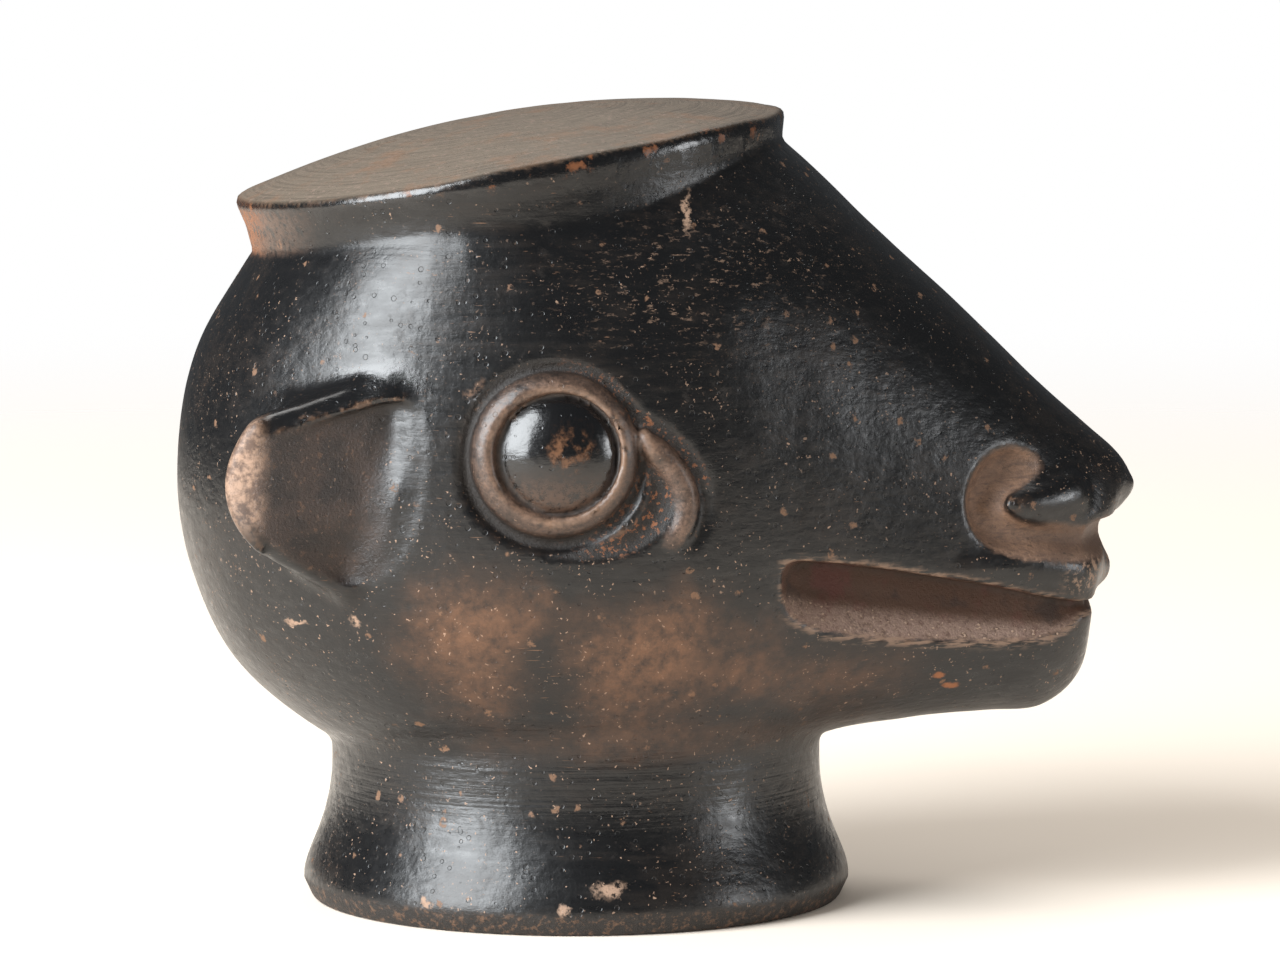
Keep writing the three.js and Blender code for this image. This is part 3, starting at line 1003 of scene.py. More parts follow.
@dataclass(frozen=True)
class Mesher:
    """Turns a distance field into a closed mesh of four-sided faces.

    Attributes:
        cell: Grid spacing.
        low: Lowest corner of the grid, whose middle row lies in the middle plane.
        high: Highest corner.
        close: How near the surface the field is measured at every corner, in spacings.
        probe: How far from a point the field is measured to find its slope.
        stride: Farthest that a point is moved, in cells.
    """

    cell: float
    low: tuple[float, float] = (-132.0, -6.0)
    high: tuple[float, float, float] = (132.0, 94.0, 216.0)
    close: float = 2.4
    probe: float = 0.15
    stride: float = 0.6

    def values(self, measure: Callable[[Points], Values]) -> tuple[np.ndarray, np.ndarray]:
        """Fill the grid, coarsely away from the surface and exactly close to it.

        Args:
            measure: The distance field.

        Returns:
            The grid of distances, both sides of the middle plane, and the place of its first corner.
        """
        coarse = self.cell * 4
        start = np.array([self.low[0], 0.0, self.low[1]])
        counts = [math.ceil(length / coarse) + 1 for length in np.array(self.high) - start]
        grid = measure(self.places(start, coarse, counts)).reshape(counts)
        for step in (2, 1):
            spacing = self.cell * step
            for axis in range(3):
                grid = self.doubled(grid, axis)
            near = np.abs(grid) < spacing * self.close
            index = np.argwhere(near)
            grid[near] = measure(start + index * spacing)
        both = np.concatenate([grid[:, :0:-1], grid], axis=1)
        start[1] = -(grid.shape[1] - 1) * self.cell
        return both, start

    @staticmethod
    def doubled(grid: np.ndarray, axis: int) -> np.ndarray:
        """Halve a grid's spacing along one axis.

        Args:
            grid: Values at the corners.
            axis: Which axis.

        Returns:
            The finer grid.
        """
        grid = np.moveaxis(grid, axis, 0)
        finer = np.empty((2 * grid.shape[0] - 1, *grid.shape[1:]))
        finer[::2] = grid
        finer[1::2] = (grid[:-1] + grid[1:]) / 2
        return np.moveaxis(finer, 0, axis)

    @staticmethod
    def places(start: np.ndarray, spacing: float, counts: Sequence[int]) -> Points:
        """Corners of a grid, one row each.

        Args:
            start: The first corner.
            spacing: Of the grid.
            counts: Corners along each axis.

        Returns:
            The places.
        """
        axes = [start[axis] + spacing * np.arange(counts[axis]) for axis in range(3)]
        return np.stack(np.meshgrid(*axes, indexing="ij"), axis=-1).reshape(-1, 3)

    def surface(self, grid: np.ndarray, start: np.ndarray) -> tuple[Points, np.ndarray, np.ndarray]:
        """Surface nets: one point in each cell that the surface crosses, one face on each crossed edge.

        Args:
            grid: Distances at the corners.
            start: Place of the first corner.

        Returns:
            Points, faces, and for each point the number of its mirror image.
        """
        inside = grid < 0
        corners = [(i, j, k) for i in (0, 1) for j in (0, 1) for k in (0, 1)]
        shape = tuple(count - 1 for count in grid.shape)

        def shifted(values: np.ndarray, corner: Sequence[int]) -> np.ndarray:
            """The corner's value for every cell."""
            return values[tuple(slice(shift, shift + count) for shift, count in zip(corner, shape))]

        total = sum(shifted(inside, corner).astype(np.int8) for corner in corners)
        cells = np.argwhere((total > 0) & (total < 8))
        number = np.full(shape, -1, dtype=np.int64)
        number[tuple(cells.T)] = np.arange(len(cells))
        heights = {corner: grid[tuple((cells + corner).T)] for corner in corners}
        middle, crossings = np.zeros((len(cells), 3)), np.zeros(len(cells))
        for first in corners:
            for axis in range(3):
                if first[axis]:
                    continue
                second = tuple(1 if place == axis else first[place] for place in range(3))
                one, other = heights[first], heights[second]
                crossed = (one < 0) != (other < 0)
                share = np.where(crossed, one / np.where(crossed, one - other, 1.0), 0.0)
                spot = np.array(first, dtype=float) + share[:, None] * (np.array(second) - np.array(first))
                middle += spot * crossed[:, None]
                crossings += crossed
        points = start + (cells + middle / crossings[:, None]) * self.cell
        faces = []
        for axis in range(3):
            one = np.moveaxis(inside, axis, 0)
            changed = np.argwhere(one[:-1] != one[1:])
            other_axes = [place for place in range(3) if place != axis]
            edge = np.zeros((len(changed), 3), dtype=int)
            edge[:, axis] = changed[:, 0]
            edge[:, other_axes[0]] = changed[:, 1]
            edge[:, other_axes[1]] = changed[:, 2]
            around = []
            for back, below in ((1, 1), (0, 1), (0, 0), (1, 0)):
                cell = edge.copy()
                cell[:, other_axes[0]] -= back
                cell[:, other_axes[1]] -= below
                around.append(number[tuple(cell.T)])
            quads = np.stack(around, axis=1)
            starts_inside = inside[tuple(edge.T)]
            flip = starts_inside if axis == 1 else ~starts_inside
            quads[flip] = quads[flip][:, ::-1]
            faces.append(quads)
        image = number[cells[:, 0], shape[1] - 1 - cells[:, 1], cells[:, 2]]
        return points, np.vstack(faces), image

    def settled(self, points: Points, image: np.ndarray, measure: Callable[[Points], Values]) -> Points:
        """Move points onto the field's zero surface, the same way on both sides.

        Args:
            points: Close to the surface.
            image: The number of each point's mirror image.
            measure: The distance field.

        Returns:
            The moved points.
        """
        far = points[:, 1] > 0
        moved = points.copy()
        moved[far] = self.nudged(points[far], measure)
        moved[image[far]] = moved[far] * (1.0, -1.0, 1.0)
        return moved

    def nudged(self, points: Points, measure: Callable[[Points], Values]) -> Points:
        """Move points along the field's slope by their distance.

        Args:
            points: Close to the surface.
            measure: The distance field.

        Returns:
            The moved points.
        """
        step, most = self.probe, self.stride * self.cell
        ways = np.array([(1, 1, 1), (1, -1, -1), (-1, 1, -1), (-1, -1, 1)]) * (step / math.sqrt(3.0))
        samples = np.stack([measure(folded(points + way)) for way in ways], axis=1)
        slope = samples @ ways * 3.0 / (4.0 * step * step)
        length = np.maximum((slope ** 2).sum(axis=1), 0.25)
        move = -slope * (samples.mean(axis=1) / length)[:, None]
        limit = most / np.maximum(np.linalg.norm(move, axis=1), most)
        return points + move * limit[:, None]


def mesh_object(name: str, points: Points, faces: np.ndarray) -> bpy.types.Object:
    """A mesh object in metres from points in millimetres.

    Args:
        name: Of the object.
        points: One row each.
        faces: Four point numbers each.

    Returns:
        The linked object, shaded smooth.
    """
    mesh = bpy.data.meshes.new(name)
    mesh.from_pydata((points * METRE).tolist(), [], faces.tolist())
    mesh.shade_smooth()
    made = bpy.data.objects.new(name, mesh)
    bpy.context.scene.collection.objects.link(made)
    return made


def apply_modifiers(made: bpy.types.Object) -> None:
    """Turn an object's modifiers into plain mesh.

    Args:
        made: The object.
    """
    evaluated = made.evaluated_get(bpy.context.evaluated_depsgraph_get())
    plain = bpy.data.meshes.new_from_object(evaluated)
    old = made.data
    made.modifiers.clear()
    made.data = plain
    bpy.data.meshes.remove(old)


@dataclass
class JarBuilder:
    """Builds and dresses the jar's mesh.

    Attributes:
        jar: Its distance field.
        detail: How finely it is meshed.
        clay: What it is made of.
        finish: How its surface was worked.
        limit: Most triangles that it may have, before the crumbs are added.
        hidden_depth: How deep in the clay the hollow's surface lies at least.
        hidden_loss: Share of the hollow's triangles that are thinned away.
    """

    jar: Jar
    detail: Detail
    clay: "BurnishedClay"
    finish: "HandFinish"
    limit: int = 186000
    hidden_depth: float = 3.0
    hidden_loss: float = 0.93

    def build(self) -> bpy.types.Object:
        """Mesh the clay, thin the mesh, mark its surface and finish it.

        Returns:
            The jar's object.
        """
        mesher = Mesher(self.detail.value)
        grid, start = mesher.values(self.jar.distance)
        points, faces, image = mesher.surface(grid, start)
        points = mesher.settled(points, image, self.jar.distance)
        made = mesh_object("zoomorphic_jar_body", points, faces)
        LOG.info("surface: %d points, %d faces", len(points), len(faces))
        hidden = np.flatnonzero(self.jar.outside(folded(points)) < -self.hidden_depth)
        share = len(hidden) / len(points)
        self.thin(made, 1.0 - self.hidden_loss * share, hidden)
        made.data.calc_loop_triangles()
        self.thin(made, self.limit / len(made.data.loop_triangles), None)
        self.mark(made)
        return self.finished(made)

    @staticmethod
    def thin(made: bpy.types.Object, share: float, where: np.ndarray | None) -> None:
        """Collapse faces, and keep the form.

        Args:
            made: The jar's object.
            share: Of its faces that is left.
            where: Numbers of the points that may go, or None for all.
        """
        if share >= 1.0:
            return
        thinning = made.modifiers.new("thinning", "DECIMATE")
        thinning.ratio = share
        if where is not None:
            group = made.vertex_groups.new(name="thinned")
            group.add(where.tolist(), 1.0, "REPLACE")
            thinning.vertex_group = group.name
        apply_modifiers(made)
        made.vertex_groups.clear()

    def finished(self, made: bpy.types.Object) -> bpy.types.Object:
        """Give the jar its hand finish, its crumbs of clay and its material.

        Args:
            made: The jar's object.

        Returns:
            The same object as plain mesh.
        """
        self.finish.put_on(made, self.clay.material())
        apply_modifiers(made)
        made.data.shade_smooth()
        return made

    def mark(self, made: bpy.types.Object) -> None:
        """Write the surface marks on the mesh's points.

        Args:
            made: The jar's object.
        """
        count = len(made.data.vertices)
        places = np.empty(count * 3)
        made.data.vertices.foreach_get("co", places)
        points = folded(places.reshape(-1, 3) / METRE)
        marks = Marks(self.jar).at(points)
        bend = self.bend(made)
        marks["edge"], marks["crease"] = smooth_step(bend, 0.10, 0.42), smooth_step(-bend, 0.06, 0.30)
        for name, values in marks.items():
            layer = made.data.attributes.new(name, "FLOAT", "POINT")
            layer.data.foreach_set("value", np.clip(values, 0.0, 1.0))

    @staticmethod
    def bend(made: bpy.types.Object) -> Values:
        """How sharply the surface bends: above nought on edges, and below it in creases.

        Args:
            made: The jar's object.

        Returns:
            For each point, one over the bend's radius in millimetres.
        """
        mesh = made.data
        count = len(mesh.vertices)
        places, normals = np.empty(count * 3), np.empty(count * 3)
        mesh.vertices.foreach_get("co", places)
        mesh.vertices.foreach_get("normal", normals)
        places, normals = places.reshape(-1, 3) / METRE, normals.reshape(-1, 3)
        ends = np.empty(len(mesh.edges) * 2, dtype=np.int32)
        mesh.edges.foreach_get("vertices", ends)
        one, other = ends.reshape(-1, 2).T
        way = places[other] - places[one]
        square = np.maximum((way ** 2).sum(axis=1), 1e-6) / 2.0
        drops = (-(way * normals[one]).sum(axis=1) / square, (way * normals[other]).sum(axis=1) / square)
        number = np.bincount(one, minlength=count) + np.bincount(other, minlength=count)
        total = np.bincount(one, drops[0], count) + np.bincount(other, drops[1], count)
        bend = total / np.maximum(number, 1)
        for _ in range(2):
            around = np.bincount(one, bend[other], count) + np.bincount(other, bend[one], count)
            bend = (bend + around / np.maximum(number, 1)) / 2.0
        return bend


@dataclass(frozen=True)
class Marks:
    """How much of each kind of surface there is at each point of the jar.

    Attributes:
        jar: The jar that is marked.
    """

    jar: Jar

    def at(self, points: Points) -> dict[str, Values]:
        """Work out every mark.

        Args:
            points: Points of the surface, on the far side of the middle plane.

        Returns:
            For each kind of surface, a share from nought to one for each point.
        """
        skin = self.jar.outer.distance(points)
        marks = {**self.crown(points), **self.ear(points)}
        marks |= self.eye(points, skin) | self.snout(points, skin)
        neck = self.jar.neck
        foot = smooth_step(neck.lip_height - points[:, 2], -0.4, 0.5)
        marks["foot"] = foot * smooth_step(neck.out(points), 62.0, 64.0)
        marks["hollow"] = smooth_step(-self.jar.outside(points), 2.0, 3.5)
        return marks

    def crown(self, points: Points) -> dict[str, Values]:
        """Marks of the disc on top.

        Args:
            points: Points of the surface.

        Returns:
            The dome, the band along its edge, and the collar.
        """
        crown = self.jar.crown
        _, _, above, out = crown.local(points)
        edge = crown.around(crown.edge, points)
        outer = smooth_step(out, 60.0, 66.0)
        dome = smooth_step(above - edge, -0.7, 0.5) * (above > -4.0) * (points[:, 2] > 170.0)
        dome = np.maximum(dome, (above > 0.5) * (out < 68.0))
        band = outer * smooth_step(above, -2.2, -0.8) * smooth_step(edge - above, -0.9, 0.2)
        foot = crown.around(crown.foot, points)
        collar = outer * smooth_step(above + foot, -0.5, 1.0) * smooth_step(-above, 0.2, 1.2)
        return {"dome": dome, "band": band, "collar": collar * (out > 66.0)}

    def ear(self, points: Points) -> dict[str, Values]:
        """Marks of the ears.

        Args:
            points: Points of the surface.

        Returns:
            The dished face, the worn back rim and the upper side.
        """
        ear = self.jar.ear
        x, y, z = points.T
        near = (x > ear.back - 3) & (x < -52) & (z > 86) & (z < 156) & (y > 50)
        face, rim, top = np.zeros(len(x)), np.zeros(len(x)), np.zeros(len(x))
        x, y, z = x[near], y[near], z[near]
        line, inner = ear.outline.distance(x, z), ear.face.distance(x, z)
        shallow = ear.surface(x, z) - y
        proud = smooth_step(-shallow, -9.0, -5.0)
        face[near] = (smooth_step(-inner, -0.6, 0.9) * smooth_step(-shallow, -14.0, -11.0)
                      * smooth_step(-x, 65.0, 74.0))
        rim[near] = (smooth_step(ear.ridge - x, -3.5, 3.0) * proud * smooth_step(-line, -1.0, 0.4)
                     * smooth_step(z, 101.0, 112.0))
        top[near] = (smooth_step(z - 131.0 - 0.27 * (x + 96.0), -1.0, 1.5) * smooth_step(inner, 0.0, 1.0)
                     * smooth_step(-line, -6.0, -2.0) * smooth_step(x, -104.0, -98.0))
        return {"ear_face": face, "ear_rim": rim, "ear_top": top}

    def eye(self, points: Points, skin: Values) -> dict[str, Values]:
        """Marks around the eyes.

        Args:
            points: Points of the surface.
            skin: Distances to the head's own surface there.

        Returns:
            The raised ring and ridge, the eyeball, and the dark hollows.
        """
        seat, eye = self.jar.eye_field, self.jar.eye
        offset = points - seat.middle
        height = offset @ seat.facing
        across = offset - height[:, None] * seat.facing
        out = np.linalg.norm(across, axis=1)
        ball_out = np.linalg.norm(across - np.array([eye.ball_shift, 0.0, 0.0]), axis=1)
        here = (height > -6.0) & (out < 40.0) & (points[:, 1] > 55.0)
        ring = smooth_step(eye.ring + 0.6 - out, -0.4, 0.6) * smooth_step(ball_out - eye.ball, -0.6, 0.8)
        ring = ring * (0.55 + 0.45 * smooth_step(-out, -eye.ring, -eye.crest))
        ball = smooth_step(eye.ball - ball_out, -0.4, 0.6)
        ridge = smooth_step(-self.jar.bar("tear", points), -0.7, 0.1) * (out > eye.ring - 1.0)
        pit = np.maximum(smooth_step(-self.jar.bar("tear_pit", points), -1.2, 0.0),
                         smooth_step(-self.jar.bar("tear_groove", points), -1.0, 0.0))
        moat = smooth_step(out, eye.ring, eye.ring + 0.8) * smooth_step(-skin, -0.4, 0.5)
        moat = moat * smooth_step(eye.ring + 4.0 - out, 0.0, 1.0)
        raised = np.maximum(ring, ridge) * here
        return {"ring": raised, "ball": ball * here, "pit": np.maximum(pit, moat) * here * (1.0 - raised)}

    def snout(self, points: Points, skin: Values) -> dict[str, Values]:
        """Marks of nose and mouth.

        Args:
            points: Points of the surface.
            skin: Distances to the head's own surface there.

        Returns:
            The nostril's channel, the mouth's wall, its floor, and the edges round it.
        """
        mouth = self.jar.mouth
        x, z = points[:, 0], points[:, 2]
        channel = smooth_step(-self.jar.bar("channel", points), -0.8, 0.2)
        channel = channel * (1.0 - smooth_step(-self.jar.bar("wing", points), -0.9, -0.2))
        carved = mouth.distance(points, skin)
        upper = np.interp(x, *np.array(mouth.upper).T)
        lower = np.interp(x, *np.array(mouth.lower).T)
        within = smooth_step(1.6 - np.abs(carved), 0.0, 1.0) * smooth_step(-skin, 0.3, 1.3)
        within = within * (x > mouth.back - 3.0) * (x < 125.0) * (z < upper + 1.0) * (z > lower - 3.0)
        ledge = smooth_step(lower + 0.46 * (upper - lower) - z, 0.0, 4.0)
        edge = (smooth_step(1.6 - np.abs(carved), 0.0, 1.2) * smooth_step(1.5 + skin, 0.0, 1.2)
                * smooth_step(x, mouth.back - 2.0, mouth.back + 0.5))
        return {"channel": channel, "mouth": within, "ledge": within * ledge, "lip_edge": edge}


Tone = tuple[float, float, float, float]


def tone(red: int, green: int, blue: int) -> Tone:
    """A colour as a screen shows it, as the shader's own linear colour.

    Args:
        red: From 0 to 255.
        green: From 0 to 255.
        blue: From 0 to 255.

    Returns:
        Linear red, green and blue, and full alpha.
    """
    shares = [channel / 255.0 for channel in (red, green, blue)]
    linear = [share / 12.92 if share <= 0.04045 else ((share + 0.055) / 1.055) ** 2.4 for share in shares]
    return (linear[0], linear[1], linear[2], 1.0)


@dataclass(frozen=True)
class Number:
    """A number that changes over the surface; each operator on it adds a Math node.

    Attributes:
        sheet: The material's nodes.
        socket: Where the number comes out.
    """

    sheet: "Sheet"
    socket: bpy.types.NodeSocket

    def math(self, operation: str, first: "Number | float", second: "Number | float") -> "Number":
        """Combine two numbers.

        Args:
            operation: The Math node's own.
            first: The upper input.
            second: The lower one.

        Returns:
            The result.
        """
        node = self.sheet.add("ShaderNodeMath", {"operation": operation}, {0: first, 1: second})
        return Number(self.sheet, node.outputs[0])

    def __add__(self, other: "Number | float") -> "Number":
        """Sum."""
        return self.math("ADD", self, other)

    __radd__ = __add__

    def __mul__(self, other: "Number | float") -> "Number":
        """Product."""
        return self.math("MULTIPLY", self, other)

    __rmul__ = __mul__

    def __sub__(self, other: "Number | float") -> "Number":
        """Difference."""
        return self.math("SUBTRACT", self, other)

    def __rsub__(self, other: "Number | float") -> "Number":
        """Difference the other way round."""
        return self.math("SUBTRACT", other, self)

    def __pow__(self, other: "Number | float") -> "Number":
        """Power."""
        return self.math("POWER", self, other)

    def __or__(self, other: "Number | float") -> "Number":
        """The larger of the two."""
        return self.math("MAXIMUM", self, other)

    def step(self, low: float, high: float) -> "Number":
        """Ease from nought at low to one at high.

        Args:
            low: Where the rise begins.
            high: Where it is complete.

        Returns:
            The share of the rise.
        """
        if low > high:
            return 1.0 - self.step(high, low)
        settings = {"interpolation_type": "SMOOTHSTEP"}
        node = self.sheet.add("ShaderNodeMapRange", settings, {0: self, 1: low, 2: high})
        return Number(self.sheet, node.outputs[0])


@dataclass
class Sheet:
    """The nodes of one material.

    Attributes:
        tree: Where they are made.
    """

    tree: bpy.types.NodeTree

    def add(self, kind: str, settings: dict[str, object], inputs: dict[int | str, object]) -> bpy.types.Node:
        """Make a node.

        Args:
            kind: The node's type.
            settings: Its properties, set first.
            inputs: Values, numbers or sockets for its inputs.

        Returns:
            The node.
        """
        node = self.tree.nodes.new(kind)
        for name, value in settings.items():
            setattr(node, name, value)
        for place, value in inputs.items():
            source = value.socket if isinstance(value, Number) else value
            if isinstance(source, bpy.types.NodeSocket):
                self.tree.links.new(source, node.inputs[place])
            else:
                node.inputs[place].default_value = source
        return node

    def mark(self, name: str) -> Number:
        """One of the surface marks.

        Args:
            name: Of the mesh's attribute.

        Returns:
            Its value.
        """
        node = self.add("ShaderNodeAttribute", {"attribute_name": name}, {})
        return Number(self, node.outputs["Fac"])

    def stretched(self, place: bpy.types.NodeSocket, scale: Sequence[float],
                  shift: Sequence[float] = (0.0, 0.0, 0.0)) -> bpy.types.NodeSocket:
        """Place, scaled for a pattern that runs longer one way than another.

        Args:
            place: In millimetres.
            scale: Along X, Y and Z.
            shift: Added afterwards.

        Returns:
            The new place.
        """
        settings = {"operation": "MULTIPLY_ADD"}
        inputs = {0: place, 1: tuple(scale), 2: tuple(shift)}
        return self.add("ShaderNodeVectorMath", settings, inputs).outputs[0]

    def noise(self, place: bpy.types.NodeSocket, scale: float, detail: float = 3.0,
              rough: float = 0.55) -> Number:
        """Cloudy noise round one half.

        Args:
            place: Where it is read.
            scale: How fine it is.
            detail: How many finer layers it has.
            rough: How strong those are.

        Returns:
            The noise.
        """
        inputs = {"Vector": place, "Scale": scale, "Detail": detail, "Roughness": rough}
        return Number(self, self.add("ShaderNodeTexNoise", {}, inputs).outputs[0])

    def grains(self, place: bpy.types.NodeSocket, scale: float, size: float, share: float) -> Number:
        """Scattered spots.

        Args:
            place: Where they are read.
            scale: How close together they can be.
            size: Of the largest, as a share of their spacing.
            share: How many of them show.

        Returns:
            One on a spot, nought elsewhere.
        """
        cells = self.add("ShaderNodeTexVoronoi", {"feature": "F1"}, {"Vector": place, "Scale": scale})
        chance = Number(self, self.add("ShaderNodeSeparateColor", {}, {0: cells.outputs["Color"]}).outputs[0])
        gap = Number(self, cells.outputs["Distance"])
        return (gap - chance * size).step(0.04, -0.04) * chance.step(1.0 - share, 1.0 - share + 0.02)

    def warped(self, place: bpy.types.NodeSocket, scale: float, amount: float) -> bpy.types.NodeSocket:
        """Place, shifted to and fro so that a pattern turns ragged.

        Args:
            place: In millimetres.
            scale: How fine the shifts are.
            amount: How far they go, in millimetres.

        Returns:
            The new place.
        """
        cloud = self.add("ShaderNodeTexNoise", {}, {"Vector": place, "Scale": scale, "Detail": 3.0})
        inputs = {0: cloud.outputs["Color"], 1: (amount,) * 3, 2: place}
        return self.add("ShaderNodeVectorMath", {"operation": "MULTIPLY_ADD"}, inputs).outputs[0]

    def patch(self, place: bpy.types.NodeSocket, middle: Sequence[float], reach: Sequence[float],
              wander: Number, soft: float = 0.35) -> Number:
        """A soft-edged patch.

        Args:
            place: In millimetres.
            middle: Of the patch.
            reach: How far it goes along X, Y and Z.
            wander: Noise that makes its edge uneven.
            soft: Half the width of its edge, as a share of its size.

        Returns:
            One inside it, nought outside.
        """
        scale = [1.0 / size for size in reach]
        near = self.stretched(place, scale, [-part / size for part, size in zip(middle, reach)])
        length = self.add("ShaderNodeVectorMath", {"operation": "LENGTH"}, {0: near}).outputs["Value"]
        return (Number(self, length) + (wander - 0.5) * 1.6).step(0.8 + soft, 0.8 - soft)

    def blended(self, below: object, above: object, share: Number) -> bpy.types.NodeSocket:
        """One colour laid over another.

        Args:
            below: Colour or socket underneath.
            above: Colour or socket on top.
            share: How much the upper one covers.

        Returns:
            The colour.
        """
        mix = self.add("ShaderNodeMix", {"data_type": "RGBA"}, {0: share, 6: below, 7: above})
        return mix.outputs[2]


@dataclass
class Coat:
    """Colour and roughness as they build up, layer by layer.

    Attributes:
        sheet: The material's nodes.
        colour: The colour so far.
        rough: The roughness so far.
    """

    sheet: Sheet
    colour: object
    rough: Number

    def lay(self, colour: object, rough: "Number | float", share: Number) -> None:
        """Put another layer on.

        Args:
            colour: Of the layer.
            rough: Its roughness.
            share: How much of it covers what is below.
        """
        self.colour = self.sheet.blended(self.colour, colour, share)
        self.rough = self.rough + share * (rough - self.rough)

    def tint(self, colour: object, share: Number) -> None:
        """Change the colour alone.

        Args:
            colour: Of the tint.
            share: How much of it covers what is below.
        """
        self.colour = self.sheet.blended(self.colour, colour, share)


